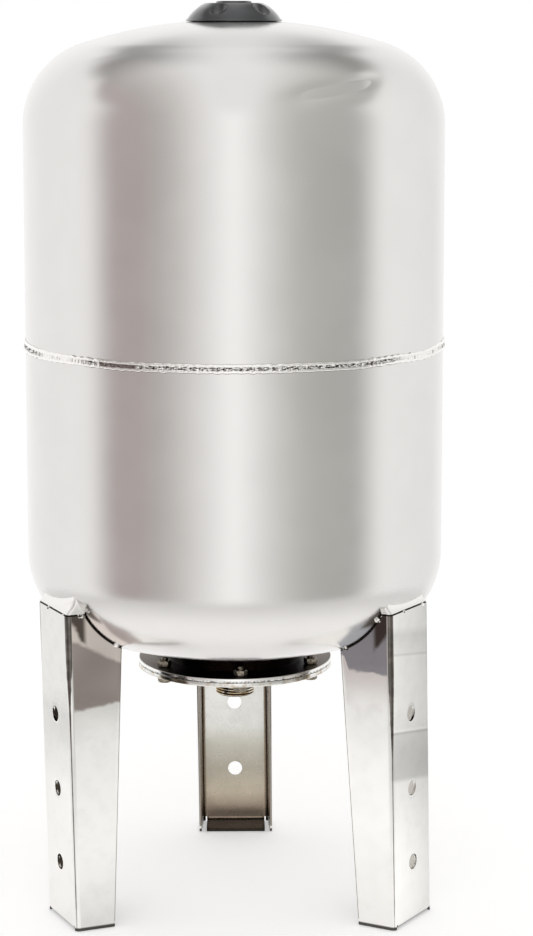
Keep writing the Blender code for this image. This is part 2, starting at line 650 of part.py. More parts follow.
def make_air_valve():
    """Welded boss, brass valve body, its core, and the sprung pin inside."""
    spigot_radius = VALVE_PORT_RADIUS - SEAT_GAP
    spigot_end = CROWN_TOP_Z - SHELL_WALL - BOSS_SPIGOT
    weld_radius = BOSS_RADIUS + BOSS_WELD
    stem_hole = STEM_RADIUS + SEAT_GAP
    boss = [(stem_hole, BOSS_TOP_Z), (BOSS_RADIUS, BOSS_TOP_Z),
            (BOSS_RADIUS, top_z(BOSS_RADIUS) + SEAT_GAP + BOSS_WELD),
            (weld_radius, top_z(weld_radius) + SEAT_GAP),
            (spigot_radius, top_z(spigot_radius) + SEAT_GAP), (spigot_radius, spigot_end),
            (stem_hole, spigot_end)]
    turned_part("valve_boss", boss, SMALL_STEPS, satin_steel)

    tail_end = CROWN_TOP_Z - STEM_TAIL
    ledge_z = tail_end + VALVE_LEDGE
    middle = 0.5 * (VALVE_HEX_UNDER_Z + VALVE_HEX_TOP_Z)
    body = [(VALVE_BORE_RADIUS, VALVE_TIP_Z), (VALVE_TIP_RADIUS, VALVE_TIP_Z),
            (VALVE_TIP_RADIUS, middle), (STEM_RADIUS, middle), (STEM_RADIUS, tail_end),
            (VALVE_VENT_RADIUS, tail_end), (VALVE_VENT_RADIUS, ledge_z),
            (VALVE_BORE_RADIUS, ledge_z)]
    air_valve = turned_part("air_valve", body, VALVE_STEPS, brass)
    collar = hexagon("valve_hex", VALVE_HEX_ACROSS_FLATS, VALVE_HEX_UNDER_Z, VALVE_HEX_TOP_Z,
                     HEX_CHAMFER, "high")
    bore = 0.5 * (VALVE_BORE_RADIUS + VALVE_TIP_RADIUS)
    stem_space = drum("valve_stem_space", bore, BOSS_TOP_Z, VALVE_TIP_Z, VALVE_STEPS,
                      [(0.0, 0.0)])
    combine(collar, add_cutter("valve_stem_space", stem_space), 'DIFFERENCE')
    combine(air_valve, collar, 'UNION')

    core_top = VALVE_TIP_Z - CORE_SINK
    core_end = core_top - CORE_LENGTH
    core_outer = VALVE_BORE_RADIUS - SEAT_GAP
    core_inner = PIN_RADIUS + PIN_PLAY
    turned_part("valve_core", [(core_inner, core_top), (core_outer, core_top),
                               (core_outer, core_end), (core_inner, core_end)],
                VALVE_STEPS, brass)

    pin_top = VALVE_TIP_Z - PIN_SINK
    poppet_top = core_end - SEAT_GAP
    poppet_under = poppet_top - POPPET_HEIGHT
    pin_end = poppet_under - PIN_TAIL
    turned_part("valve_pin", [(0.0, pin_top), (PIN_RADIUS, pin_top), (PIN_RADIUS, poppet_top),
                              (POPPET_RADIUS, poppet_top), (POPPET_RADIUS, poppet_under),
                              (PIN_TAIL_RADIUS, poppet_under), (PIN_TAIL_RADIUS, pin_end),
                              (0.0, pin_end)],
                VALVE_STEPS, brass, closed=False)
    make_spring(ledge_z + SEAT_GAP + SPRING_WIRE_RADIUS,
                poppet_under - SEAT_GAP - SPRING_WIRE_RADIUS)


def make_spring(low, high):
    """Coil spring between the valve's ledge and the pin's poppet."""
    turn_steps = 6
    count = SPRING_TURNS * turn_steps
    curve = bpy.data.curves.new("valve_spring", 'CURVE')
    curve.dimensions = '3D'
    curve.bevel_depth = SPRING_WIRE_RADIUS
    curve.bevel_resolution = 1
    curve.use_fill_caps = True
    spline = curve.splines.new('POLY')
    spline.points.add(count)
    for i, point in enumerate(spline.points):
        angle = math.tau * i / turn_steps
        point.co = (SPRING_RADIUS * math.cos(angle), SPRING_RADIUS * math.sin(angle),
                    low + (high - low) * i / count, 1.0)
    curve.materials.append(zinc_steel("valve_spring"))
    spring = bpy.data.objects.new("valve_spring", curve)
    PARTS.objects.link(spring)


def cap_side(crown_z, lip_z, inset):
    """Side of the cap from its crown's edge to the lip, as (radius, z) points.

    It is the chord between those two rings, bulged by a parabola and moved in by inset.
    """
    start = Vector((CAP_CROWN_RADIUS, crown_z))
    end = Vector((CAP_RADIUS - CAP_LIP_STEP, lip_z))
    chord = end - start
    outwards = Vector((-chord.y, chord.x)).normalized()
    steps = 5
    side = []
    for i in range(steps + 1):
        t = i / steps
        point = start.lerp(end, t) + outwards * (4.0 * t * (1.0 - t) * CAP_BULGE - inset)
        side.append((point.x, point.y))
    return side


def make_cap():
    """Moulded cap: a thin domed shell, a threaded hub and finger recesses."""
    rim_inner = CAP_RADIUS - CAP_LIP_STEP - CAP_WALL
    base = top_z(rim_inner) + SEAT_GAP
    disc_z = VALVE_TIP_Z + CAP_HEAD_ROOM + CAP_WALL
    crown_z = disc_z - CAP_DISC_HEIGHT
    lip_z = base + CAP_LIP
    disc_edge = 0.5 * CAP_DISC_HEIGHT
    outside = [(0.0, disc_z), (CAP_DISC_RADIUS - disc_edge, disc_z),
               (CAP_DISC_RADIUS, disc_z - disc_edge), (CAP_DISC_RADIUS, crown_z)]
    outside += cap_side(crown_z, lip_z, 0.0)
    outside += [(CAP_RADIUS, lip_z - 0.4 * CAP_LIP), (CAP_RADIUS, base)]
    middle = cap_side(crown_z, lip_z, 0.5 * CAP_WALL)
    heart = [(0.0, middle[0][1])] + middle + [(0.0, middle[-1][1])]
    heart_cutter = turned_cutter("cap_heart", heart, CAP_STEPS)

    ceiling = crown_z - CAP_WALL
    hub_inner = BOSS_RADIUS + SEAT_GAP
    hub_outer = hub_inner + CAP_HUB_WALL
    hub_end = CROWN_TOP_Z + SEAT_GAP + BOSS_WELD + CAP_HUB_LIFT
    inside = [(rim_inner, base)]
    inside += [(r, z) for r, z in reversed(cap_side(crown_z, lip_z, CAP_WALL))
               if base + SEAT_GAP < z < ceiling - SEAT_GAP]
    inside += [(CAP_CROWN_RADIUS - 0.4 * CAP_WALL, ceiling), (hub_outer, ceiling),
               (hub_outer, hub_end), (hub_inner, hub_end), (hub_inner, disc_z - CAP_WALL),
               (0.0, disc_z - CAP_WALL)]
    cap = turned_part("valve_cap", outside + inside, CAP_STEPS, grey_plastic, closed=False)

    places = []
    for i in range(RECESS_COUNT):
        x, y = on_circle(RECESS_CIRCLE_RADIUS, FIRST_RECESS_AZIMUTH + math.tau * i / RECESS_COUNT)
        places.append(Vector((x, y, crown_z - RECESS_DROP)))
    pads = add_cutter("recess_pads", ball_mesh("recess_pads", RECESS_BALL_RADIUS + CAP_WALL,
                                               places, 12, 7))
    combine(pads, heart_cutter, 'INTERSECT')
    balls = add_cutter("recess_balls", ball_mesh("recess_balls", RECESS_BALL_RADIUS,
                                                 places, 12, 7))
    combine(cap, pads, 'UNION')
    combine(cap, balls, 'DIFFERENCE')


def smooth_round_pieces():
    for part in PARTS.objects:
        if part.type == 'MESH' and part.data.polygons:
            part.data.shade_smooth()
            part.data.set_sharp_from_angle(angle=math.radians(30.0))


def main():
    global PARTS, CUTTERS
    clear_scene()
    PARTS = new_collection("well_pressure_tank")
    CUTTERS = new_collection("cutters")
    make_shells()
    make_girth_weld()
    make_flanges()
    make_nipple()
    make_bag()
    make_bolts()
    make_legs()
    make_air_valve()
    make_cap()
    smooth_round_pieces()


main()
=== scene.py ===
"""Dressing for the well pressure tank: stainless sheet, welds, threads, fasteners and cap."""
import math
from contextlib import contextmanager

import bmesh
import bpy
import numpy as np
from bpy.props import FloatProperty, FloatVectorProperty, PointerProperty
from bpy.types import Operator, Panel, PropertyGroup
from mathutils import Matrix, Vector


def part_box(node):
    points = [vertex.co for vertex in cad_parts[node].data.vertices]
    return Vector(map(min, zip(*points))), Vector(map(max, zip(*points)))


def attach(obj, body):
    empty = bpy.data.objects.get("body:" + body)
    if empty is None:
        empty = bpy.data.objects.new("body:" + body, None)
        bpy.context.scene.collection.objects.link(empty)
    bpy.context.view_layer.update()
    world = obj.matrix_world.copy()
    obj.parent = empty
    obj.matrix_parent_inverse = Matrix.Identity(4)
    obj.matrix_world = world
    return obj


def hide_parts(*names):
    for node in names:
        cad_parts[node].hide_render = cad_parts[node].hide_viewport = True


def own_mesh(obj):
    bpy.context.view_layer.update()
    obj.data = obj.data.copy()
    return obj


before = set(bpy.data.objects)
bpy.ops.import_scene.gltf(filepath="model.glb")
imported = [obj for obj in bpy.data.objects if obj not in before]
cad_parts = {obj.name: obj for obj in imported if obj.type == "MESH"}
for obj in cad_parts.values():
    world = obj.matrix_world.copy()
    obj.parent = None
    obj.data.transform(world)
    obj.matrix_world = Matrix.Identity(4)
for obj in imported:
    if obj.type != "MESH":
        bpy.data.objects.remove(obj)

bl_info = {
    "name": "Well pressure tank",
    "version": (1, 0, 0),
    "blender": (4, 5, 0),
    "location": "3D View > Sidebar > Tank",
    "description": "Builds the tank's visible surfaces on its packed frame",
    "category": "Add Mesh",
}

MM = 0.001
# Clearance between pieces that touch, leg of the fillet welds, and thickness of the washers
GAP = 0.3 * MM
FILLET = 3.2 * MM
WASHER = 1.4 * MM


def srgb(code):
    """Linear colour of an sRGB hex code such as #d8d5cf."""
    values = [int(code[i:i + 2], 16) / 255.0 for i in (1, 3, 5)]
    return tuple(v / 12.92 if v <= 0.04045 else ((v + 0.055) / 1.055) ** 2.4 for v in values)


def size(about, millimetres):
    """A length property given in millimetres and kept in metres."""
    return FloatProperty(name=about, default=millimetres * MM, min=0.0, precision=5,
                         unit='LENGTH', subtype='DISTANCE')


def turn_property(about, degrees):
    return FloatProperty(name=about, default=math.radians(degrees), unit='ROTATION',
                         subtype='ANGLE')


def paint(about, code):
    return FloatVectorProperty(name=about, default=srgb(code), size=3, min=0.0, max=1.0,
                               subtype='COLOR')


class TankBodySizes(PropertyGroup):
    """Sizes of the two drawn halves and of the bead between them."""
    radius: size("Outer radius of the straight side", 175.0)
    wall: size("Thickness of the sheet", 1.2)
    crown: size("Radius of the dished ends' crown", 420.0)
    knuckle: size("Radius of the dished ends' knuckle", 70.5)
    clearance: size("Lowest point of the belly above the floor", 209.6)
    side: size("Height of the straight side", 357.8)
    seam_rise: size("Seam above the lower tangent", 176.5)
    lap: size("How far the lower half slips into the upper", 12.0)
    port: size("Radius of the hole in the upper crown", 8.0)
    neck: size("Radius of the hole in the lower crown", 54.0)
    bead_height: size("Height of the weld bead", 7.8)
    bead_crest: size("How far the bead's crests stand out", 1.75)
    dent: size("Depth of the dents on the top shoulder", 1.5)


class LegSizes(PropertyGroup):
    """Sizes of the folded legs."""
    web_radius: size("Distance of the webs from the tank's axis", 172.0)
    height: size("Top edge of the webs above the floor", 264.0)
    width: size("Width across the folds", 63.0)
    sheet: size("Thickness of the sheet", 2.0)
    bend: size("Outer radius of the folds", 4.0)
    flange: size("Depth of the side flanges at the floor", 33.5)
    taper: FloatProperty(name="Growth of the flanges with height", default=0.055)
    splay: turn_property("Opening of each side flange", 3.2)
    tab: size("Depth of the foot tab", 34.0)
    relief: size("Notch beside the foot tab", 1.0)
    hole: size("Radius of the holes in the web", 6.5)
    first_hole: size("Height of the lowest hole", 50.5)
    hole_pitch: size("Distance between the holes", 63.0)


class WaterFlangeSizes(PropertyGroup):
    """Sizes of the flange pair, its fasteners and the nipple."""
    radius: size("Outer radius of both plates", 82.6)
    drop: size("Upper plate below the belly", 7.8)
    plate: size("Thickness of the upper plate", 3.2)
    counter: size("Thickness of the lower plate", 3.6)
    tube: size("Wall of the neck tube", 3.0)
    groove: size("Radius of the pressed middle", 61.0)
    press: size("Depth of the pressed middle", 4.0)
    bolt_circle: size("Radius of the bolt circle", 71.0)
    first_bolt: turn_property("Azimuth of the first bolt", 3.6)
    bolt: size("Radius of the bolt shanks", 3.0)
    flats: size("Width of heads and nuts across their flats", 10.0)
    nipple: size("Outer radius of the pipe thread", 16.6)
    nipple_bore: size("Inner radius of the nipple", 12.5)
    nipple_reach: size("Length of the nipple below the plate", 22.0)
    pitch: size("Pitch of the pipe thread", 2.309)
    thread_depth: size("Depth of the pipe thread", 1.3)


class CapSizes(PropertyGroup):
    """Sizes of the moulded cap and its finger recesses."""
    radius: size("Outer radius of the lip", 40.0)
    wall: size("Wall of the moulding", 2.4)
    lip: size("Height of the lip", 1.5)
    lip_step: size("How far the lip stands out", 1.2)
    crown: size("Radius of the flat crown", 24.0)
    disc: size("Radius of the raised disc", 15.0)
    disc_height: size("Height of the raised disc", 1.7)
    bulge: size("Outward bulge of the side", 1.5)
    ball: size("Radius of the ball that shapes a recess", 9.0)
    ball_circle: size("Distance of the recesses from the axis", 34.0)
    ball_drop: size("Recess balls below the crown", 0.9)
    first_recess: turn_property("Azimuth of the first recess", -24.0)
    hub_wall: size("Wall of the inner hub", 2.7)


class Finishes(PropertyGroup):
    """Colours of the tank's finishes."""
    shell: paint("Satin stainless of the body", "#e4e2e0")
    leg: paint("Bright stainless of the legs", "#ebeae7")
    weld: paint("Bright weld bead", "#f7f5f2")
    tint: paint("Brown oxide beside the welds", "#64503c")
    # Near-black: mill scale, and painted shade under the belly
    neck: paint("Dark scaled steel of the upper flange", "#1c1511")
    # Darker than bright zinc, to paint the shade round the fasteners
    zinc: paint("Plated fasteners", "#9a9284")
    brass: paint("Turned brass of the air valve", "#c9a564")
    rubber: paint("Black butyl of the bag", "#1c1c1d")
    plastic: paint("Dark grey moulded plastic", "#25282b")


def body_heights(tank):
    """Heights of the tank that follow from its sizes."""
    centre_depth = math.sqrt((tank.crown - tank.knuckle) ** 2 - (tank.radius - tank.knuckle) ** 2)
    head = tank.crown - centre_depth
    lower = tank.clearance + head
    upper = lower + tank.side
    return {"centre_depth": centre_depth, "lower": lower, "upper": upper, "top": upper + head,
            "seam": lower + tank.seam_rise}


def head_arcs(tank, offset):
    """Knuckle centre's radius, angle where the arcs meet, and both arcs' radii grown by offset."""
    centre = tank.radius - tank.knuckle
    join = math.asin(centre / (tank.crown - tank.knuckle))
    return centre, join, tank.crown + offset, tank.knuckle + offset


def head_curve(tank, offset, start_radius, crown_rows, knuckle_rows):
    """Dished end as arrays of radius and rise above its tangent.

    The crown is an arc about the axis and the knuckle an arc that touches it and the
    straight side.
    """
    centre, join, crown, knuckle = head_arcs(tank, offset)
    over_crown = np.linspace(math.asin(start_radius / crown), join, crown_rows, endpoint=False)
    over_knuckle = np.linspace(join, 0.5 * math.pi, knuckle_rows)
    radius = np.concatenate([crown * np.sin(over_crown), centre + knuckle * np.sin(over_knuckle)])
    rise = np.concatenate([crown * np.cos(over_crown) - body_heights(tank)["centre_depth"],
                           knuckle * np.cos(over_knuckle)])
    return radius, rise


def head_rise(tank, radius, offset=0.0):
    """Rise of the dished end above its tangent at each radius."""
    centre, join, crown, knuckle = head_arcs(tank, offset)
    on_crown = (np.sqrt(np.maximum(crown ** 2 - radius ** 2, 0.0))
                - body_heights(tank)["centre_depth"])
    on_knuckle = np.sqrt(np.maximum(knuckle ** 2 - (radius - centre) ** 2, 0.0))
    return np.where(radius <= crown * math.sin(join), on_crown, on_knuckle)


def circle_point(radius, azimuth):
    """Point at an azimuth that runs from -Y towards +X."""
    return radius * np.sin(azimuth), -radius * np.cos(azimuth)


def turned(reach, height, azimuth):
    """Grid of points round Z; reach and height give one value a row, or a grid."""
    reach, height = (v[:, None] if v.ndim == 1 else v for v in (reach, height))
    x, y = circle_point(reach, azimuth[None, :])
    return np.stack(np.broadcast_arrays(x, y, height), -1)


def lathe(profile, columns, first=0.0):
    """Points of a profile of (radius, height) turned round Z, and the columns' azimuths."""
    azimuth = first + np.linspace(0.0, math.tau, columns, endpoint=False)
    return turned(profile[:, 0], profile[:, 1], azimuth), azimuth


def grid_quads(rows, columns, close_rows, close_columns):
    """Corner indices of the quads of a grid, wrapped where it is closed."""
    down = np.arange(rows if close_rows else rows - 1)
    across = np.arange(columns if close_columns else columns - 1)
    a, b = np.meshgrid(down, across, indexing="ij")
    c = (a + 1) % rows
    d = (b + 1) % columns
    quads = np.stack([a * columns + b, a * columns + d, c * columns + d, c * columns + b], -1)
    return quads.reshape(-1, 4)


@contextmanager
def edited(mesh):
    """Working copy of a mesh that is written back at the end."""
    work = bmesh.new()
    work.from_mesh(mesh)
    yield work
    work.to_mesh(mesh)
    work.free()


def tidy_mesh(mesh, outward=True, sharp=32.0):
    """Close seams and poles, point the faces outwards and shade them smoothly."""
    with edited(mesh) as work:
        bmesh.ops.remove_doubles(work, verts=work.verts, dist=0.002 * MM)
        bmesh.ops.dissolve_degenerate(work, edges=work.edges, dist=0.001 * MM)
        if outward:
            bmesh.ops.recalc_face_normals(work, faces=work.faces)
    mesh.shade_smooth()
    mesh.set_sharp_from_angle(angle=math.radians(sharp))
    return mesh


def grids_mesh(name, grids, close_rows=False, close_columns=False):
    """Mesh of grids of points (rows, columns, 3) that aren't joined yet."""
    faces = []
    start = 0
    for grid in grids:
        rows, columns = grid.shape[:2]
        faces.append(start + grid_quads(rows, columns, close_rows, close_columns))
        start += rows * columns
    mesh = bpy.data.meshes.new(name)
    points = np.concatenate([grid.reshape(-1, 3) for grid in grids])
    mesh.from_pydata(points, [], np.concatenate(faces).tolist())
    return mesh


def surface_mesh(name, points, close_rows=False, close_columns=True, uv=None, sharp=32.0):
    """Finished mesh of one grid of points, with an optional UV for each point."""
    mesh = grids_mesh(name, [points], close_rows, close_columns)
    if uv is not None:
        layer = mesh.uv_layers.new(name="surface")
        corners = np.empty(len(mesh.loops), np.int32)
        mesh.loops.foreach_get("vertex_index", corners)
        layer.data.foreach_set("uv", uv.reshape(-1, 2)[corners].ravel().astype(np.float32))
    return tidy_mesh(mesh, sharp=sharp)


def ring_noise(azimuth, waves, seed):
    """Smooth noise round a ring: a sum of whole waves with set strengths and seeded phases."""
    draw = np.random.default_rng(seed)
    counts = draw.integers(waves[0], waves[1], 24)
    phases = draw.uniform(0.0, math.tau, 24)
    strengths = draw.uniform(0.4, 1.0, 24)
    terms = strengths[:, None] * np.cos(counts[:, None] * azimuth[None, :] + phases[:, None])
    return terms.sum(0) / np.sqrt(0.5 * (strengths ** 2).sum())


def zigzag(turns):
    """Triangle wave from 1 at whole turns to 0 halfway: the section of a thread."""
    return np.abs(2.0 * (turns - np.floor(turns)) - 1.0)


def add_piece(name, mesh, finish, nodes, body="tank"):
    """Object for a finished mesh that rides a body and stands for CAD nodes."""
    mesh.materials.clear()
    mesh.materials.append(finish)
    piece = bpy.data.objects.new(name, mesh)
    bpy.context.scene.collection.objects.link(piece)
    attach(piece, body)
    if nodes:
        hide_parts(*nodes)
    return piece


def assign(thing, **settings):
    """Set several of a thing's attributes and return it."""
    for name, value in settings.items():
        setattr(thing, name, value)
    return thing


def cut_mesh(mesh, cutter_mesh, wall=None, edge=None):
    """Give a mesh a wall if asked, cut holes in it, and soften its edges."""
    item = bpy.data.objects.new("workpiece", mesh)
    cutter = bpy.data.objects.new("drills", cutter_mesh)
    for part in (item, cutter):
        bpy.context.scene.collection.objects.link(part)
    if wall:
        assign(item.modifiers.new("wall", 'SOLIDIFY'), thickness=wall, offset=-1.0,
               use_even_offset=True)
    assign(item.modifiers.new("holes", 'BOOLEAN'), operation='DIFFERENCE', solver='EXACT',
           object=cutter)
    if edge:
        assign(item.modifiers.new("edges", 'BEVEL'), width=edge, segments=2,
               limit_method='ANGLE', angle_limit=math.radians(50.0), harden_normals=False)
    depsgraph = bpy.context.evaluated_depsgraph_get()
    finished = bpy.data.meshes.new_from_object(item.evaluated_get(depsgraph))
    for part in (item, cutter):
        bpy.data.objects.remove(part, do_unlink=True)
    return finished


def drum_mesh(places, axis, radius, length, sides=48):
    """Closed cylinders along a unit axis, one at each place."""
    turn = np.linspace(0.0, math.tau, sides, endpoint=False)[:, None]
    axis = np.array(axis, float)
    side = np.cross(axis, (0.0, 0.0, 1.0) if abs(axis[2]) < 0.9 else (1.0, 0.0, 0.0))
    side /= np.linalg.norm(side)
    ring = radius * (np.cos(turn) * side + np.sin(turn) * np.cross(axis, side))
    points = []
    faces = []
    for place in places:
        low = len(points) + np.arange(sides)
        high = low + sides
        for end in (-0.5, 0.5):
            points += (np.array(place) + end * length * axis + ring).tolist()
        faces += np.stack([low, np.roll(low, -1), np.roll(high, -1), high], -1).tolist()
        faces += [low[::-1].tolist(), high.tolist()]
    mesh = bpy.data.meshes.new("drills")
    mesh.from_pydata(points, [], faces)
    with edited(mesh) as work:
        bmesh.ops.recalc_face_normals(work, faces=work.faces)
    return mesh


class Nodes:
    """Short calls that each add a node to a tree; values are numbers, colours or sockets."""

    def __init__(self, tree):
        self.tree = tree

    def put(self, socket, value):
        """Link a socket, or set its value."""
        if isinstance(value, bpy.types.NodeSocket):
            self.tree.links.new(value, socket)
        else:
            socket.default_value = (*value, 1.0) if socket.type == 'RGBA' else value

    def add(self, kind, inputs=None, **settings):
        node = assign(self.tree.nodes.new("ShaderNode" + kind), **settings)
        for key, value in (inputs or {}).items():
            self.put(node.inputs[key], value)
        return node

    def math(self, operation, *values):
        return self.add("Math", dict(enumerate(values)), operation=operation).outputs[0]

    def times(self, first, *others):
        """Product of two values or more."""
        for value in others:
            first = self.math('MULTIPLY', first, value)
        return first

    def minus(self, first, second):
        return self.math('SUBTRACT', first, second)

    def multiply_add(self, first, factor, second):
        return self.math('MULTIPLY_ADD', first, factor, second)

    def larger(self, first, second):
        return self.math('MAXIMUM', first, second)

    def vector(self, x, y, z=0.0):
        return self.add("CombineXYZ", {"X": x, "Y": y, "Z": z}).outputs["Vector"]

    def length(self, vector):
        return self.add("VectorMath", {0: vector}, operation='LENGTH').outputs["Value"]

    def split(self, vector):
        return self.add("SeparateXYZ", {"Vector": vector}).outputs

    def where(self):
        """Object coordinates."""
        return self.add("TexCoord").outputs["Object"]

    def stretched(self, scale, vector=None):
        """Coordinates with a stretch on each axis."""
        return self.add("Mapping", {"Vector": vector or self.where(),
                                    "Scale": scale}).outputs["Vector"]

    def noise(self, vector, grain, detail=3.0, roughness=0.55):
        """Noise whose grain size is given in millimetres."""
        return self.add("TexNoise", {"Vector": vector, "Scale": 1.0 / (grain * MM),
                                     "Detail": detail, "Roughness": roughness}).outputs["Fac"]

    def spread(self, value, low, high, out_low=0.0, out_high=1.0, soft=True):
        """Map a value's range to another, clamped."""
        inputs = {"Value": value, "From Min": low, "From Max": high, "To Min": out_low,
                  "To Max": out_high}
        kind = 'SMOOTHSTEP' if soft else 'LINEAR'
        return self.add("MapRange", inputs, interpolation_type=kind).outputs["Result"]

    def step(self, value, low, high, out_low=0.0, out_high=1.0):
        """The same with the value's range in millimetres."""
        return self.spread(value, low * MM, high * MM, out_low, out_high)

    def fall(self, value, low, high, start=1.0):
        """The same from start down to 0."""
        return self.step(value, low, high, start, 0.0)

    def mix(self, factor, first, second, mode='MIX'):
        """Mix two colours or colour sockets."""
        inputs = {0: factor, 6: first, 7: second}
        return self.add("Mix", inputs, data_type='RGBA', blend_type=mode).outputs[2]

    def ramp(self, share, low, high, stops):
        """Colours over a value from 0 to 1; stops are (place, linear colour or grey)."""
        node = self.add("ValToRGB", {"Fac": share})
        elements = node.color_ramp.elements
        while len(elements) > 1:
            elements.remove(elements[-1])
        for i, (place, color) in enumerate(stops):
            spot = (place - low) / (high - low)
            stop = elements[0] if i == 0 else elements.new(spot)
            grey = isinstance(color, (int, float))
            assign(stop, position=spot, color=(*((color,) * 3 if grey else color), 1.0))
        return node.outputs["Color"]

    def bump(self, height, strength, depth, normal=None):
        """Normals of a height pattern whose depth is given in millimetres."""
        inputs = {"Height": height, "Strength": strength, "Distance": depth * MM}
        if normal is not None:
            inputs["Normal"] = normal
        return self.add("Bump", inputs).outputs["Normal"]


class Finish(Nodes):
    """Principled material: plain values first, and patterns linked in at the end."""

    def __init__(self, name, color, roughness, metallic=1.0, **sockets):
        self.material = bpy.data.materials.new(name)
        self.material.use_nodes = True
        super().__init__(self.material.node_tree)
        self.shader = self.tree.nodes["Principled BSDF"]
        self.color = tuple(color)
        self.link(Base_Color=self.color, Roughness=roughness, Metallic=metallic, **sockets)

    def link(self, **sockets):
        for key, value in sockets.items():
            self.put(self.shader.inputs[key.replace("_", " ")], value)
        return self.material

    def darker(self, share):
        return tuple(share * v for v in self.color)


def satin_stainless(finishes):
    """Drawn stainless sheet, satin rolled: soft broad reflections with faint cloudy patches."""
    look = Finish("satin_stainless_sheet", finishes.shell, 0.20)
    # Rolling and drawing leave cloudy patches some 60 mm across
    cloud = look.noise(look.where(), 60, detail=2.0)
    # Upright drawing marks about 2 mm apart and some 40 mm long, coarser than the real ones
    marks = look.noise(look.stretched((1.0, 1.0, 0.05)), 2, detail=2.0)
    shade = look.spread(cloud, 0.3, 0.7)
    fine = look.bump(marks, 0.05, 0.05)
    return look.link(Base_Color=look.mix(shade, look.darker(0.965), look.color),
                     Roughness=look.spread(cloud, 0.25, 0.75, 0.17, 0.23),
                     Normal=look.bump(cloud, 0.05, 0.8, fine))


# Each leg's azimuth and the turn of its web off that azimuth in degrees, its sideways slope,
# and its step outwards from the solid's web in millimetres, as the photograph shows them
LEG_TURNS = {
    "leg_front_left": (-57.4, -7.4, 0.020, 2.0),
    "leg_front_right": (56.2, 1.4, 0.020, 2.8),
    "leg_back": (180.3, -0.3, 0.010, 0.0),
}


def leg_stance(legs, node):
    """Place of a leg's web, the angle that it faces, and its sideways slope."""
    azimuth, turn, lean, outward = LEG_TURNS[node]
    place = circle_point(legs.web_radius + outward * MM, math.radians(azimuth))
    return place, math.radians(azimuth) + math.radians(turn), lean


def leg_frame(look, legs, node):
    """Coordinates of a leg: x out of its web, y across it, z up."""
    (centre_x, centre_y), facing, lean = leg_stance(legs, node)
    world = look.split(look.where())
    upright = look.vector(look.multiply_add(world["Z"], lean, world["X"]), world["Y"], world["Z"])
    centre = (centre_x + 0.5 * lean * legs.height, centre_y, 0.0)
    local = look.add("Mapping", {"Vector": upright, "Location": centre,
                                 "Rotation": (0.0, 0.0, facing - 0.5 * math.pi)},
                     vector_type='TEXTURE').outputs["Vector"]
    return local, look.split(local)


# Heights in millimetres and greys down each leg's web, times the sheet's own colour: painted
# reflections and painted shade
LEG_WEB_PAINTED_REFLECTIONS = {
    "leg_front_left": ((0, 0.96), (80, 1.0), (120, 1.15), (150, 1.15), (165, 1.05), (180, 0.94),
                       (264, 0.94)),
    "leg_front_right": ((0, 0.97), (119, 1.0), (123, 0.72), (159.5, 0.72), (161, 0.52),
                        (162.5, 0.98), (164.5, 0.84), (225, 0.82), (226.5, 0.62), (228, 0.78),
                        (243, 0.70), (250, 0.84), (264, 0.86)),
    "leg_back": ((0, 0.9), (264, 0.9)),
}
# The same down each leg's flanges, seen from outside: a painted sheen that grows lighter upwards
LEG_FLANGE_PAINTED_SHEEN = {
    "leg_front_left": ((0, 0.80), (40, 0.95), (110, 1.08), (150, 1.20)),
    "leg_front_right": ((0, 1.0), (110, 1.10), (150, 1.20)),
    "leg_back": ((0, 1.0), (264, 1.0)),
}
# Heat tint on each leg's flanges: height at the fold in millimetres, its slope outwards, how
# soft the border is in millimetres, and the linear colour that the steel above is given
LEG_TINTS = {
    "leg_front_left": ((186.0, 0.09, 4.0, (0.50, 0.43, 0.41)),
                       (244.0, -0.55, 5.0, (1.0, 0.91, 0.86))),
    "leg_front_right": ((216.0, 0.0, 3.0, (0.45, 0.46, 0.49)),),
    "leg_back": ((216.0, 0.0, 3.0, (0.45, 0.38, 0.33)),),
}
# Heights in millimetres and linear colours painted on the skin inside each leg's web: painted
# shade low down, and painted light higher up where light falls in through the gap
LEG_INSIDE_SHADE_AND_LIGHT = {
    "leg_front_left": ((0, (0.05, 0.045, 0.04)), (196, (0.05, 0.045, 0.04)),
                       (214, (0.95, 0.94, 0.92)), (264, (0.98, 0.98, 0.97))),
    "leg_front_right": ((0, (0.66, 0.64, 0.60)), (200, (0.78, 0.76, 0.72)),
                        (220, (0.95, 0.94, 0.92)), (264, (0.98, 0.98, 0.97))),
    "leg_back": ((0, (0.30, 0.23, 0.18)), (13, (0.40, 0.32, 0.25)), (28, (0.54, 0.47, 0.37)),
                 (51, (0.44, 0.41, 0.34)), (72, (0.53, 0.51, 0.44)), (92, (0.74, 0.74, 0.70)),
                 (110, (0.80, 0.80, 0.77)), (264, (0.80, 0.80, 0.77))),
}
# Linear colours of the painted shade inside each leg's flanges, deepest on the front left leg
LEG_INNER_FLANGE_SHADE = {
    "leg_front_left": (0.05, 0.04, 0.03),
    "leg_front_right": (0.62, 0.60, 0.56),
    "leg_back": (0.20, 0.155, 0.11),
}
# Colour of the painted shade in the gaps at the legs' welded top edges
PAINTED_GAP_SHADE_COLOUR = (0.020, 0.016, 0.013)


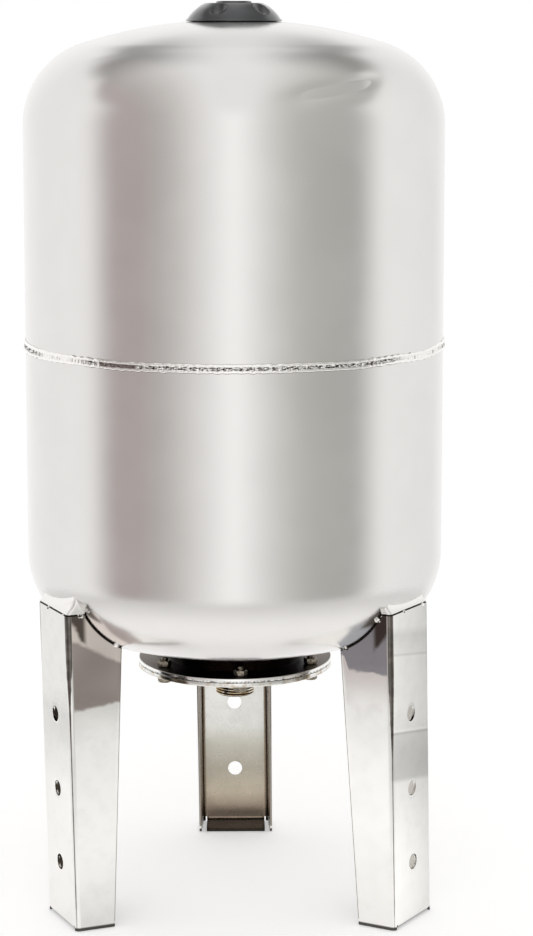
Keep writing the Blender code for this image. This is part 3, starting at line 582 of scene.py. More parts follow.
def leg_steel(finishes, tank, legs, node):
    """Bright stainless strip: mirror-like outside with long rolling lines.

    Heat tint colours it beside the welds. Painted reflections and shade run in bands down
    the web, a painted sheen lightens the flanges upwards, and painted shade darkens a band
    along each fold that narrows downwards. The sheared edges are dark lines, painted shade
    lines the welded edges and the foot, and the inside is painted with shade and light.
    """
    look = Finish(node + "_stainless", finishes.leg, 0.08)
    local, axis = leg_frame(look, legs, node)
    out, across, up = axis["X"], look.math('ABSOLUTE', axis["Y"]), axis["Z"]
    half = 0.5 * legs.width / MM
    top = legs.height / MM
    height = look.spread(up, 0.0, legs.height, soft=False)
    # Rolling lines along the strip, about 1.5 mm apart
    lines = look.noise(look.stretched((1.0, 1.0, 0.03), local), 1.5, detail=2.0)
    # Shallow waves of the folded sheet some 55 mm across, and stains some 14 mm across
    waves = look.noise(local, 55, detail=1.0)
    stains = look.noise(local, 14, detail=4.0)
    color = look.mix(look.spread(stains, 0.35, 0.75), look.color, look.darker(0.95))

    # Painted reflections and painted shade in bands across the web; on the front right leg painted
    # light and shade also make it lighter towards one edge and darker towards the other
    leaning = 0.17 / legs.height if node == "leg_front_right" else 0.0
    painted_web_bands = look.ramp(look.multiply_add(axis["Y"], leaning, height), 0.0, top, LEG_WEB_PAINTED_REFLECTIONS[node])
    if node == "leg_front_right":
        painted_slant = look.spread(axis["Y"], -28 * MM, 28 * MM, 1.16, 0.86, soft=False)
        painted_web_bands = look.mix(1.0, painted_web_bands, painted_slant, 'MULTIPLY')
    color = look.mix(look.step(out, -2.5, -1.0), color, look.mix(1.0, color, painted_web_bands, 'MULTIPLY'))

    # Painted sheen on the flanges, and heat tint
    flange_side = look.fall(out, -4.6, -3.6)
    painted_sheen = look.ramp(height, 0.0, top, LEG_FLANGE_PAINTED_SHEEN[node])
    color = look.mix(flange_side, color, look.mix(1.0, color, painted_sheen, 'MULTIPLY'))
    patchy = look.multiply_add(stains, 8 * MM, up)
    if node == "leg_front_right":
        patchy = look.math('ADD', patchy, look.step(out, -44, -38, -12 * MM, 0.0))
    for border, slope, soft, tint in LEG_TINTS[node]:
        edge = border + 4.0 - 4.0 * slope
        above = look.step(look.multiply_add(out, slope, patchy), edge - 0.5 * soft, edge + 0.5 * soft)
        shade = look.mix(look.spread(waves, 0.3, 0.7), tint, tuple(0.78 * v for v in tint))
        color = look.mix(look.times(flange_side, above), color, shade)

    # Painted shade along the folds, over a width that shrinks downwards
    from_centre = look.minus(look.minus(across, out), half * MM)
    uneven = look.multiply_add(stains, 40 * MM, up)
    low, high, thin, thick = ((190, 262, 0.6, 4.2) if node == "leg_front_left"
                              else (150, 245, 0.45, 3.4))
    width = look.step(uneven, low, high, thin * MM, thick * MM)
    excess = look.minus(look.math('ABSOLUTE', from_centre), width)
    fold = look.times(look.step(out, -6.0, -4.6), look.step(across, half - 5.5, half - 4.0),
                      look.fall(excess, -0.3, 0.5, 0.92), look.step(uneven, 15, 60, 0.5, 1.0))
    painted_fold_shade = look.mix(look.spread(stains, 0.4, 0.6), (0.13, 0.11, 0.095), (0.055, 0.045, 0.035))
    color = look.mix(fold, color, painted_fold_shade)

    # The sheared edge of each flange is a thin dark line
    reach = look.multiply_add(up, legs.taper, look.math('ADD', out, legs.flange))
    sheared = look.times(look.fall(reach, 0.3, 0.9, 0.8), look.step(up, 4, 6))
    color = look.mix(sheared, color, (0.16, 0.13, 0.10))

    # The inside, behind the sheet's middle, on the web and on both flanges, is painted with shade
    # and light
    depth_in = look.multiply_add(out, math.tan(legs.splay), across)
    skin = look.times(look.fall(out, -1.95, -1.80), look.fall(depth_in, half - 1.95, half - 1.80))
    side_skin = look.times(look.step(across, half - 5.0, half - 3.5), look.fall(up, 200, 216))
    scaled = look.mix(side_skin, look.ramp(height, 0.0, top, LEG_INSIDE_SHADE_AND_LIGHT[node]),
                      LEG_INNER_FLANGE_SHADE[node])
    scaled = look.mix(look.spread(waves, 0.35, 0.65, 0.0, 0.14), scaled, (0.20, 0.16, 0.12))
    # The tab under the foot gets the darkest painted shade
    tab = look.times(look.fall(up, 2.6, 3.4), look.fall(out, -5.0, -4.0))
    scaled = look.mix(tab, scaled, (0.115, 0.10, 0.09))
    color = look.mix(skin, color, scaled)

    # Painted shade on the cut top edges and where the flanges meet the belly; scorched at the corner
    facing = look.split(look.add("NewGeometry").outputs["Normal"])["Z"]
    painted_gap_shade = look.times(look.spread(facing, 0.35, 0.6), look.step(up, 150, 160))
    world = look.split(look.where())
    aside = look.minus(look.length(look.vector(world["X"], world["Y"])),
                       tank.radius - tank.knuckle)
    below = look.minus(body_heights(tank)["lower"], world["Z"])
    from_belly = look.minus(look.length(look.vector(aside, below)), tank.knuckle)
    painted_gap_shade = look.larger(painted_gap_shade, look.times(look.fall(from_belly, 1.1, 1.8), flange_side))
    ragged = look.multiply_add(stains, 8 * MM, from_belly)
    scorch = look.times(look.fall(ragged, 16, 20, 0.9), look.step(out, -18, -13), flange_side)
    color = look.mix(scorch, color, tuple(0.35 * v for v in finishes.tint))
    color = look.mix(painted_gap_shade, color, PAINTED_GAP_SHADE_COLOUR)
    # Painted contact shadow along the foot, just above the floor
    color = look.mix(look.fall(up, 2.0, 3.4, 0.94), color, (0.03, 0.025, 0.02))
    rough = look.multiply_add(look.larger(skin, painted_gap_shade), 0.20, look.spread(stains, 0.35, 0.7, 0.05, 0.11))
    fine = look.bump(lines, 0.05, 0.05)
    return look.link(Base_Color=color, Roughness=rough, Normal=look.bump(waves, 0.10, 1.0, fine))


def weld_metal(finishes, tank):
    """Bright weld bead: two shiny ridges and a rough valley specked with soot.

    A painted shadow runs along the upper border and a dark line along the lower. Two
    stretches near the sides were brushed clean, and one short stretch is smooth, with a
    painted dark reflection.
    """
    look = Finish("welded_stainless_bead", finishes.weld, 0.12)
    along = look.add("UVMap", uv_map="surface").outputs["UV"]
    place = look.split(along)
    level = place["Y"]
    # Soot specks, 4 mm long and 1 mm high, in the valley only
    specks = look.noise(look.stretched((0.30, 1.0, 1.0), along), 1.1, roughness=0.7)
    valley = look.fall(look.math('ABSOLUTE', level), 1.1, 2.0)
    soot_and_shade = look.times(valley, look.spread(specks, 0.44, 0.56))
    # Painted shadow along the upper border, and a dark line along the lower
    painted_shadow_and_dark_border = look.larger(look.fall(level, -3.7, -3.2), look.step(level, 3.6, 3.9, 0.0, 0.8))
    soot_and_shade = look.larger(soot_and_shade, painted_shadow_and_dark_border)

    def stretch(degrees, reach, fade):
        """1 within some degrees of an azimuth along the bead, fading out past them."""
        off = look.minus(place["X"], math.radians(degrees) * tank.radius)
        return look.spread(look.math('ABSOLUTE', off), math.radians(reach) * tank.radius,
                           math.radians(reach + fade) * tank.radius, 1.0, 0.0)

    clean = look.larger(stretch(-53.0, 8.5, 4.0), stretch(62.0, 12.0, 4.0))
    soot_and_shade = look.times(soot_and_shade, look.multiply_add(clean, -0.88, 1.0))
    # The smooth stretch is painted darker: a painted reflection of the dim panel it faces
    smooth_painted_reflection = look.times(valley, stretch(-31.5, 5.0, 1.5), 0.8)
    color = look.mix(smooth_painted_reflection, look.mix(soot_and_shade, look.color, srgb("#2e2621")), srgb("#6d605b"))
    ripples = look.times(look.noise(along, 2.2, detail=2.0), valley)
    return look.link(Base_Color=color, Roughness=look.spread(soot_and_shade, 0.0, 1.0, 0.12, 0.45),
                     Normal=look.bump(ripples, 0.5, 0.35))


def tack_metal(finishes):
    """Weld tack: shiny drop of steel with a straw and brown oxide rim."""
    look = Finish("weld_tack_metal", finishes.weld, 0.18)
    tint = look.spread(look.noise(look.where(), 3), 0.50, 0.62)
    ripples = look.noise(look.where(), 1.4, detail=2.0)
    return look.link(Base_Color=look.mix(tint, look.color, srgb("#3c332b")),
                     Normal=look.bump(ripples, 0.6, 0.4))


def seat_steel(finishes, legs):
    """Brushed weld fill: satin and pale like the belly, with painted shade where it stands on the leg.
    """
    look = Finish("brushed_weld_fill", finishes.weld, 0.38)
    # Brush marks some 3 mm apart, and painted shade up to 1.3 mm above the leg's edge
    marks = look.noise(look.where(), 3, detail=2.0)
    ragged = look.multiply_add(marks, 0.6 * MM, look.split(look.where())["Z"])
    top = legs.height / MM
    return look.link(Base_Color=look.mix(look.fall(ragged, top + 1.4, top + 1.8), look.color, PAINTED_GAP_SHADE_COLOUR),
                     Normal=look.bump(marks, 0.08, 0.2))


def scaled_and_shaded_steel(finishes, sizes, under):
    """Upper flange: dark mill scale above, and a rim that was turned bright.

    The scale's near-black also paints the shade under the belly. It is lighter brown towards
    both sides along X, and weld spatter specks the rim's lower edge.
    """
    look = Finish("scaled_and_shaded_flange_steel", finishes.neck, 0.35)
    where = look.where()
    place = look.split(where)
    edge = sizes.radius / MM
    rim = look.step(look.length(look.vector(place["X"], place["Y"])), edge - 1.2, edge - 0.7)
    grain = look.noise(where, 4, detail=4.0)
    scale = look.mix(look.spread(grain, 0.35, 0.7), look.color, look.darker(0.45))
    aside = look.multiply_add(grain, 14 * MM, look.math('ABSOLUTE', place["X"]))
    # Lighter brown towards both sides along X
    scale = look.mix(look.step(aside, 66, 74, 0.0, 0.9), scale, (0.135, 0.105, 0.08))
    specks = look.noise(where, 1.6, roughness=0.7)
    low = under / MM
    spatter = look.times(look.spread(specks, 0.46, 0.58, 0.0, 0.8),
                         look.fall(place["Z"], low + 0.8, low + 1.5))
    bright = look.mix(spatter, (0.93, 0.92, 0.90), (0.10, 0.095, 0.09))
    return look.link(Base_Color=look.mix(rim, scale, bright),
                     Roughness=look.spread(rim, 0.0, 1.0, 0.36, 0.16),
                     Normal=look.bump(grain, 0.25, 0.2))


def cut_thread(finishes, flange):
    """Pipe thread cut in stainless: straw-coloured crests, and roots near black."""
    look = Finish("cut_stainless_thread", finishes.leg, 0.14)
    where = look.where()
    place = look.split(where)
    reach = look.length(look.vector(place["X"], place["Y"]))
    outer, bore = flange.nipple / MM, flange.nipple_bore / MM
    root = look.times(look.fall(reach, outer - 0.75, outer - 0.30, 0.95),
                      look.step(reach, bore + 0.5, bore + 1.2))
    stains = look.noise(where, 9)
    crest = look.mix(look.spread(stains, 0.40, 0.62), (0.93, 0.90, 0.82), (0.60, 0.46, 0.25))
    return look.link(Base_Color=look.mix(root, crest, (0.050, 0.030, 0.018)),
                     Roughness=look.spread(stains, 0.3, 0.7, 0.10, 0.22))


def turned_steel(finishes):
    """Turned stainless of the nipple and the lower plate: bright, with brown cutting stains."""
    look = Finish("turned_stainless", finishes.leg, 0.14)
    stains = look.noise(look.where(), 9)
    grooves = look.noise(look.stretched((0.05, 0.05, 1.0)), 0.6, detail=2.0)
    return look.link(Base_Color=look.mix(look.spread(stains, 0.45, 0.75), look.color,
                                         srgb("#b9a27c")),
                     Roughness=look.spread(stains, 0.3, 0.7, 0.10, 0.22),
                     Normal=look.bump(grooves, 0.12, 0.05))


def zinc_plate_in_painted_shade(finishes):
    """Zinc plated steel: greyish, darkened as painted shade, slightly mottled and a little dull."""
    look = Finish("zinc_plated_steel_in_painted_shade", finishes.zinc, 0.30)
    spots = look.noise(look.where(), 1.5)
    return look.link(Base_Color=look.mix(look.spread(spots, 0.35, 0.65), look.color,
                                         srgb("#6b6457")),
                     Roughness=look.spread(spots, 0.3, 0.7, 0.22, 0.40))


def turned_brass(finishes):
    """Turned brass: warm yellow with faint lathe rings."""
    look = Finish("turned_brass", finishes.brass, 0.22)
    rings = look.noise(look.stretched((0.05, 0.05, 1.0)), 0.3, detail=2.0)
    return look.link(Roughness=look.spread(rings, 0.3, 0.7, 0.18, 0.28),
                     Normal=look.bump(rings, 0.15, 0.03))


def butyl_rubber(finishes):
    """Moulded butyl rubber: dull black with a faint bloom."""
    look = Finish("butyl_rubber", finishes.rubber, 0.65, metallic=0.0)
    bloom = look.spread(look.noise(look.where(), 15, detail=4.0), 0.4, 0.7)
    return look.link(Base_Color=look.mix(bloom, look.color, srgb("#2b2b2c")))


def cap_plastic(finishes):
    """Injection-moulded polypropylene: dark grey and glossy, with a faint flow pattern."""
    look = Finish("moulded_polypropylene", finishes.plastic, 0.22, metallic=0.0, IOR=1.52,
                  Coat_Weight=0.8, Coat_Roughness=0.10)
    flow = look.noise(look.where(), 10, detail=2.0)
    return look.link(Roughness=look.spread(flow, 0.3, 0.7, 0.18, 0.27),
                     Normal=look.bump(flow, 0.08, 0.2))


def shoulder_dents(tank, azimuth, arc):
    """Depth of the dents on the upper shoulder.

    azimuth and arc are grids, arc being the length along the head from its tangent. Each
    dent is a groove along a line, exp(-(distance/width)^2) deep, faded at both ends.
    """
    u, v = azimuth * tank.radius / MM, arc / MM
    depth = np.zeros_like(u)
    # Start and end of each line in millimetres, its share of the depth, and its widths above
    # and below
    for (start_u, start_v), (end_u, end_v), strength, above, below in (
            ((40.0, 28.0), (140.0, 44.0), 1.25, 6.5, 8.5),
            ((-186.0, 22.0), (-160.0, 58.0), 0.10, 5.0, 8.0),
            ((-164.0, 55.0), (-84.0, 79.0), 0.10, 5.0, 8.0)):
        run_u, run_v = end_u - start_u, end_v - start_v
        length = math.hypot(run_u, run_v)
        along = ((u - start_u) * run_u + (v - start_v) * run_v) / length ** 2
        off = ((u - start_u) * run_v - (v - start_v) * run_u) / length
        window = np.exp(-((along - 0.5) / 0.45) ** 4)
        width = np.where(off > 0.0, below, above)
        depth += strength * window * np.exp(-(off / width) ** 2)
    return depth * tank.dent


class TankOperator:
    """What every operator of the tank shares: it builds from the scene's size groups."""
    bl_options = {'REGISTER', 'UNDO'}

    def execute(self, context):
        self.build(context.scene)
        return {'FINISHED'}


class TANK_OT_shells(TankOperator, Operator):
    """Both drawn halves of the body, with the shallow dents on the top shoulder"""
    bl_idname = "tank.shells"
    bl_label = "Body halves"

    def build(self, scene):
        tank = scene.tank_body
        heights = body_heights(tank)
        seam, lower, upper = heights["seam"], heights["lower"], heights["upper"]
        steel = satin_stainless(scene.tank_finishes)
        inside = tank.radius - tank.wall

        outer_r, outer_rise = head_curve(tank, 0.0, tank.port, 70, 60)
        inner_r, inner_rise = head_curve(tank, -tank.wall, tank.port, 8, 16)
        low = seam + 0.5 * MM
        side_rows = np.linspace(upper, low, 40)[1:]
        radius = np.concatenate([outer_r, np.full(39, tank.radius), [inside], inner_r[::-1]])
        height = np.concatenate([upper + outer_rise, side_rows, [low],
                                 upper + inner_rise[::-1]])
        points, azimuth = lathe(np.stack([radius, height], -1), 512, first=-math.pi)
        steps = np.hypot(np.diff(outer_r), np.diff(outer_rise))
        arc = np.concatenate([np.cumsum(steps[::-1])[::-1], [0.0]])
        dents = shoulder_dents(tank, *np.meshgrid(azimuth, arc))
        normal = np.abs([np.gradient(outer_rise, arc), np.gradient(outer_r, arc)])
        normal /= np.hypot(*normal)
        points[:len(arc)] -= dents[..., None] * turned(*normal, azimuth)
        mesh = surface_mesh("upper_half", points, close_rows=True)
        add_piece("upper_half", mesh, steel, ["upper_shell"])

        belly_r, belly_rise = head_curve(tank, 0.0, tank.neck, 30, 50)
        inner_r, inner_rise = head_curve(tank, -tank.wall, tank.neck, 8, 16)
        spigot = inside - GAP
        shoulder = seam + 0.2 * MM
        under = shoulder - (tank.radius - spigot)
        radius = np.concatenate([[spigot, spigot], np.full(40, tank.radius), belly_r[-2::-1],
                                 inner_r, [inside, spigot - tank.wall, spigot - tank.wall]])
        height = np.concatenate([[seam + tank.lap, shoulder], np.linspace(under, lower, 40),
                                 lower - belly_rise[-2::-1], lower - inner_rise,
                                 [under - tank.wall, shoulder - tank.wall, seam + tank.lap]])
        points, _ = lathe(np.stack([radius, height], -1), 360, first=-math.pi)
        mesh = surface_mesh("lower_half", points, close_rows=True)
        add_piece("lower_half", mesh, steel, ["lower_shell"])


class TANK_OT_girth_weld(TankOperator, Operator):
    """Wavy bead with two crests round the seam, and its start and stop marks"""
    bl_idname = "tank.girth_weld"
    bl_label = "Girth weld"

    def build(self, scene):
        tank = scene.tank_body
        azimuth = np.linspace(-math.pi, math.pi, 1800, endpoint=False)
        # The bead is a fifth wider and a little lower near the left side
        wide = np.exp(-((azimuth + 1.45) / 0.40) ** 2)
        half = 0.5 * tank.bead_height * (1.0 + 0.20 * wide)
        # Share of the bead's half height, and share of the crest's height
        crest = [(1.00, -0.06), (0.93, 0.30), (0.82, 0.72), (0.68, 0.93), (0.55, 0.90),
                 (0.42, 0.62), (0.28, 0.42), (0.12, 0.36)]
        mirrored = [(-share_z, share_r) for share_z, share_r in reversed(crest)]
        root = [(-0.10, -0.10), (-0.10, -0.45), (0.10, -0.45), (0.10, -0.10)]
        profile = np.array(crest + mirrored + root)
        share_z, share_r = profile[:, :1], profile[:, 1:]
        edge_top = 1.0 + 0.05 * ring_noise(azimuth, (40, 160), 3)
        edge_low = 1.0 + 0.05 * ring_noise(azimuth, (40, 160), 4)
        wander = 0.25 * MM * ring_noise(azimuth, (4, 18), 5)
        z = share_z * np.where(share_z > 0.0, edge_top, edge_low) * half + wander
        z = z - 1.1 * MM * wide
        on_crest = np.clip(share_r - 0.5, 0.0, 1.0)
        in_valley = np.exp(-(share_z / 0.40) ** 4) * (share_r > 0.0)
        calm = 1.0 - 0.85 * np.exp(-((azimuth + 0.545) / 0.085) ** 4)
        lift = share_r * tank.bead_crest
        lift = lift + 0.10 * MM * on_crest * ring_noise(azimuth, (120, 420), 6)
        lift = lift + 0.22 * MM * in_valley * ring_noise(azimuth, (160, 620), 7) * calm
        lift = lift - 0.30 * MM * in_valley * (1.0 - calm)
        # Start mark: a small ring across the bead; stop mark: a drop on it
        along = azimuth[None, :] * tank.radius
        off_start = np.hypot(along - math.radians(-37.9) * tank.radius, z) / MM
        off_stop = np.hypot((along - math.radians(77.0) * tank.radius) * 0.8, z) / MM
        lift = lift + 0.7 * MM * np.exp(-((off_start - 3.0) / 0.7) ** 2) * (share_r > 0)
        lift = lift + 0.8 * MM * np.exp(-(off_stop / 3.2) ** 2) * (share_r > 0)
        reach = tank.radius + np.minimum(lift, 1.78 * MM)
        uv = np.stack(np.broadcast_arrays(along, 0.5 * tank.bead_height * share_z), -1)
        mesh = surface_mesh("girth_bead", turned(reach, body_heights(tank)["seam"] + z, azimuth),
                            close_rows=True, uv=uv, sharp=70.0)
        add_piece("girth_bead", mesh, weld_metal(scene.tank_finishes, tank), ["girth_weld"])


def leg_place(legs, stance, x, y, z):
    """World points of local leg points: turned, moved to the web's place, and leaning in X."""
    (centre_x, centre_y), facing, lean = stance
    sine, cosine = math.sin(facing - 0.5 * math.pi), math.cos(facing - 0.5 * math.pi)
    world_x = centre_x + x * cosine - y * sine + lean * (0.5 * legs.height - z)
    world_y = centre_y + x * sine + y * cosine
    return np.stack(np.broadcast_arrays(world_x, world_y, z), -1)


def leg_section(legs):
    """Columns of the folded channel from one flange's edge to the other.

    Gives x and y of the web and the bends, for the flanges the share of the way from the
    bend to the flange's edge, and the kind: 0 over the tab, 1 beside it, 2 past the web.
    The web lies on x = 0 and faces +X.
    """
    bend_angle = 0.5 * math.pi - legs.splay
    arc_y = 0.5 * legs.width - legs.bend * math.tan(0.5 * bend_angle)
    web = np.concatenate([np.linspace(0.0, arc_y - legs.relief, 9), [arc_y]])
    turn = np.linspace(0.0, bend_angle, 11)[1:]
    bend_x = legs.bend * (np.cos(turn) - 1.0)
    bend_y = arc_y + legs.bend * np.sin(turn)
    share = np.linspace(0.0, 1.0, 13)[1:]
    x = np.concatenate([np.zeros(10), bend_x, np.full(12, bend_x[-1])])
    y = np.concatenate([web, bend_y, np.full(12, bend_y[-1])])
    along = np.concatenate([np.zeros(20), share])
    kind = np.concatenate([np.zeros(9), [1.0], np.full(22, 2.0)])
    return tuple(np.concatenate([sign * values[:0:-1], values])
                 for sign, values in ((1, x), (-1, y), (1, along), (1, kind)))


def leg_points(legs, section, z):
    """Local x and y of the section's columns at heights z."""
    x, y, along, _ = section
    run = along * (legs.flange + legs.taper * z + x)
    return x - run, y + np.sign(y) * run * math.tan(legs.splay)


def leg_mesh(name, legs, tank, stance):
    """Skin of one leg: the channel up to the belly, and the tab folded in under it."""
    section = leg_section(legs)
    kind = section[3]
    lower = body_heights(tank)["lower"]
    top = np.full(len(kind), legs.height)
    for _ in range(12):
        place = leg_place(legs, stance, *leg_points(legs, section, top), top)
        reach = np.minimum(np.hypot(place[:, 0], place[:, 1]), tank.radius)
        top = 0.5 * top + 0.5 * np.minimum(legs.height, lower - head_rise(tank, reach, GAP))
    fold = legs.bend
    z = fold + np.linspace(0.0, 1.0, 61)[:, None] * (top - fold)
    grids = [leg_place(legs, stance, *leg_points(legs, section, z), z)]
    z = np.linspace(0.0, fold, 4)[:, None]
    for sign in (-1.0, 1.0):
        part = [values[(kind == 2.0) & (sign * section[1] > 0.0)] for values in section]
        grids.append(leg_place(legs, stance, *leg_points(legs, part, z), z))
    angle = np.linspace(0.0, 0.5 * math.pi, 9)
    tab_x = np.concatenate([fold * (np.cos(angle) - 1.0), np.linspace(-fold, -legs.tab, 7)[1:]])
    tab_z = np.concatenate([fold * (1.0 - np.sin(angle)), np.zeros(6)])
    grids.append(leg_place(legs, stance, tab_x[:, None], section[1][kind == 0.0],
                           tab_z[:, None]))

    mesh = grids_mesh(name, grids)
    outward = Vector((math.sin(stance[1]), -math.cos(stance[1]), 0.0))
    with edited(mesh) as work:
        bmesh.ops.remove_doubles(work, verts=work.verts, dist=0.005 * MM)
        bmesh.ops.recalc_face_normals(work, faces=work.faces)
        if sum(face.normal.dot(outward) * face.calc_area() for face in work.faces) < 0.0:
            bmesh.ops.reverse_faces(work, faces=work.faces)
    return mesh


def blob_mesh(name, spots, radius, seed):
    """Weld drops: spheres flattened and rippled by a sum of waves over their surface."""
    draw = np.random.default_rng(seed)
    polar = np.linspace(0.0, math.pi, 17)[:, None]
    turn = np.linspace(0.0, math.tau, 32, endpoint=False)[None, :]
    grids = []
    for spot in spots:
        reach = np.full((17, 32), float(radius))
        for _ in range(6):
            waves = draw.integers(2, 6)
            tilt = draw.integers(2, 7)
            phase = draw.uniform(0.0, math.tau, 2)
            reach += 0.045 * radius * (np.sin(polar) * np.cos(waves * turn + phase[0])
                                       * np.cos(tilt * polar + phase[1]))
        grids.append(np.array(spot) + np.stack([reach * np.sin(polar) * np.cos(turn),
                                                reach * np.sin(polar) * np.sin(turn),
                                                0.75 * reach * np.cos(polar)], -1))
    return tidy_mesh(grids_mesh(name, grids, close_columns=True), sharp=80.0)


def belly_reach(tank, height):
    """Radius of the lower knuckle at a height below its tangent."""
    drop = body_heights(tank)["lower"] - height
    return tank.radius - tank.knuckle + math.sqrt(tank.knuckle ** 2 - drop ** 2)


def tack_spots(legs, tank, stance):
    """Centres of the weld tacks on the web's top edge and down both flanges' edges."""
    lower = body_heights(tank)["lower"]
    belly = belly_reach(tank, legs.height)
    spots = []
    for along in (-0.29, 0.73):
        x, y, z = leg_place(legs, stance, -0.5 * legs.sheet, along * 0.5 * legs.width,
                            legs.height)
        reach = math.hypot(x, y)
        inward = max(0.5 * (reach + belly), reach - 1.3 * MM) / reach
        spots.append((x * inward, y * inward, z - 0.6 * MM))
    bend_x, bend_y = (values[-1] for values in leg_section(legs)[:2])
    for along in (0.18, 0.88):
        for side in (-1.0, 1.0):
            z = legs.height
            for _ in range(6):
                run = along * (legs.flange + legs.taper * z + bend_x)
                x, y, _ = leg_place(legs, stance, bend_x - run,
                                    side * (bend_y + run * math.tan(legs.splay)), z)
                z = min(legs.height, lower - float(head_rise(tank, math.hypot(x, y), GAP)))
            spots.append((x, y, z))
    return spots


def seat_mesh(name, legs, tank, stance):
    """Weld fill on a leg's level top edge: it stands on the sheet and runs in to the belly.

    Along the edge's outline in plan a low wall rises from the sheet, and a slope of sqrt(3)
    to one, a little hollow, leads from it to the knuckle's circle. It meets the circle at
    the smaller root of |P + t d - C| = R. The ends lie inside the belly and close to points.
    """
    # Where the wall and the back stand on the sheet, how far it sinks in, and its height
    outer_edge, inner_edge, sunk, wall = 0.6 * MM, 1.8 * MM, 0.4 * MM, 1.5 * MM
    # How far the slope runs into the belly, how hollow it is, and where its back edge lies
    bite, hollow_share, back_in, back_down = 0.5 * MM, 0.12, 1.2 * MM, 0.7 * MM
    slope_in, slope_up = 0.5, math.sqrt(0.75)

    plan = leg_place(legs, stance, *leg_points(legs, leg_section(legs), legs.height),
                     legs.height)[:, :2]
    run = np.concatenate([[0.0], np.cumsum(np.linalg.norm(np.diff(plan, axis=0), axis=1))])
    even = np.linspace(0.0, run[-1], 160)
    plan = np.stack([np.interp(even, run, plan[:, i]) for i in (0, 1)], -1)
    tangent = np.gradient(plan, axis=0)
    tangent /= np.linalg.norm(tangent, axis=1)[:, None]
    inward = np.stack([-tangent[:, 1], tangent[:, 0]], -1)
    middle = len(plan) // 2
    inward *= -np.sign((inward[middle] * plan[middle]).sum())
    kept = np.linalg.norm(plan, axis=1) > belly_reach(tank, legs.height) - 1.5 * MM
    plan, inward = plan[kept], inward[kept]
    outer = plan + outer_edge * inward
    inner = plan + inner_edge * inward
    level = legs.height + wall
    reach = np.linalg.norm(outer, axis=1)
    across = reach - (tank.radius - tank.knuckle)
    rise = level - body_heights(tank)["lower"]
    half_b = slope_in * across - slope_up * rise
    inside = half_b ** 2 - (across ** 2 + rise ** 2 - tank.knuckle ** 2)
    slide = np.maximum(half_b - np.sqrt(np.maximum(inside, 0.0)), 0.0) + bite
    still = np.zeros(len(slide))
    rows = [(outer, still, legs.height - sunk + still)]
    for share in np.linspace(0.0, 1.0, 9):
        hollow = 4.0 * share * (1.0 - share) * hollow_share * slide
        rows.append((outer, slope_in * share * slide + slope_up * hollow,
                     level + slope_up * share * slide - slope_in * hollow))
    rows += [(outer, slope_in * slide + back_in, level + slope_up * slide - back_down),
             (inner, still, legs.height + sunk + still),
             (inner, still, legs.height - sunk + still)]
    toward = -outer / reach[:, None]
    points = np.stack([np.concatenate([line + shift[:, None] * toward, z[:, None]], -1)
                       for line, shift, z in rows])
    for end in (0, -1):
        points[:, end] = points[:, end].mean(0)
    return surface_mesh(name, points, close_rows=True, close_columns=False, sharp=180.0)


class TANK_OT_legs(TankOperator, Operator):
    """Three legs folded from bright sheet, and the weld tacks that hold them"""
    bl_idname = "tank.legs"
    bl_label = "Legs"

    def build(self, scene):
        tank, legs, finishes = scene.tank_body, scene.tank_legs, scene.tank_finishes
        tacks = tack_metal(finishes)
        fill = seat_steel(finishes, legs)
        for seed, node in enumerate(LEG_TURNS, 20):
            stance = leg_stance(legs, node)
            outward = (math.sin(stance[1]), -math.cos(stance[1]), 0.0)
            holes = [leg_place(legs, stance, 0.0, 0.0, legs.first_hole + i * legs.hole_pitch)
                     for i in range(3)]
            drills = drum_mesh(holes, outward, legs.hole, 6.0 * legs.sheet)
            skin = leg_mesh(node + "_sheet", legs, tank, stance)
            sheet = cut_mesh(skin, drills, wall=legs.sheet, edge=0.25 * MM)
            drops = blob_mesh(node + "_tacks", tack_spots(legs, tank, stance), 2.9 * MM, seed)
            add_piece(node + "_sheet", tidy_mesh(sheet, outward=False),
                      leg_steel(finishes, tank, legs, node), [node])
            add_piece(node + "_seat", seat_mesh(node + "_seat", legs, tank, stance), fill, None)
            add_piece(node + "_tacks", drops, tacks, None)


def flange_heights(tank, flange):
    """Heights of both plates and of the nipple's end."""
    top = tank.clearance - flange.drop
    under = top - flange.plate
    counter_top = under - GAP
    groove = counter_top - flange.press
    return {"top": top, "under": under, "counter_top": counter_top,
            "counter_under": counter_top - flange.counter, "groove": groove,
            "disc_under": groove - flange.counter,
            "end": groove - flange.counter - flange.nipple_reach}


def bolt_places(flange):
    turns = flange.first_bolt + math.tau * np.arange(6) / 6
    return np.stack(circle_point(flange.bolt_circle, turns), -1)


def rounded(points, rounding, steps=4):
    """Profile with its corners rounded: each corner becomes a quadratic curve.

    points are (radius, height); rounding is the length cut from each side of a corner.
    """
    path = np.array(points, float)
    share = np.linspace(0.0, 1.0, steps + 1)[:, None]
    result = []
    for before, corner, after in zip(np.roll(path, 1, 0), path, np.roll(path, -1, 0)):
        start, end = (corner + side * min(rounding / np.linalg.norm(side), 0.45)
                      for side in (before - corner, after - corner))
        result.append((1 - share) ** 2 * start + 2 * share * (1 - share) * corner
                      + share ** 2 * end)
    return np.concatenate(result)


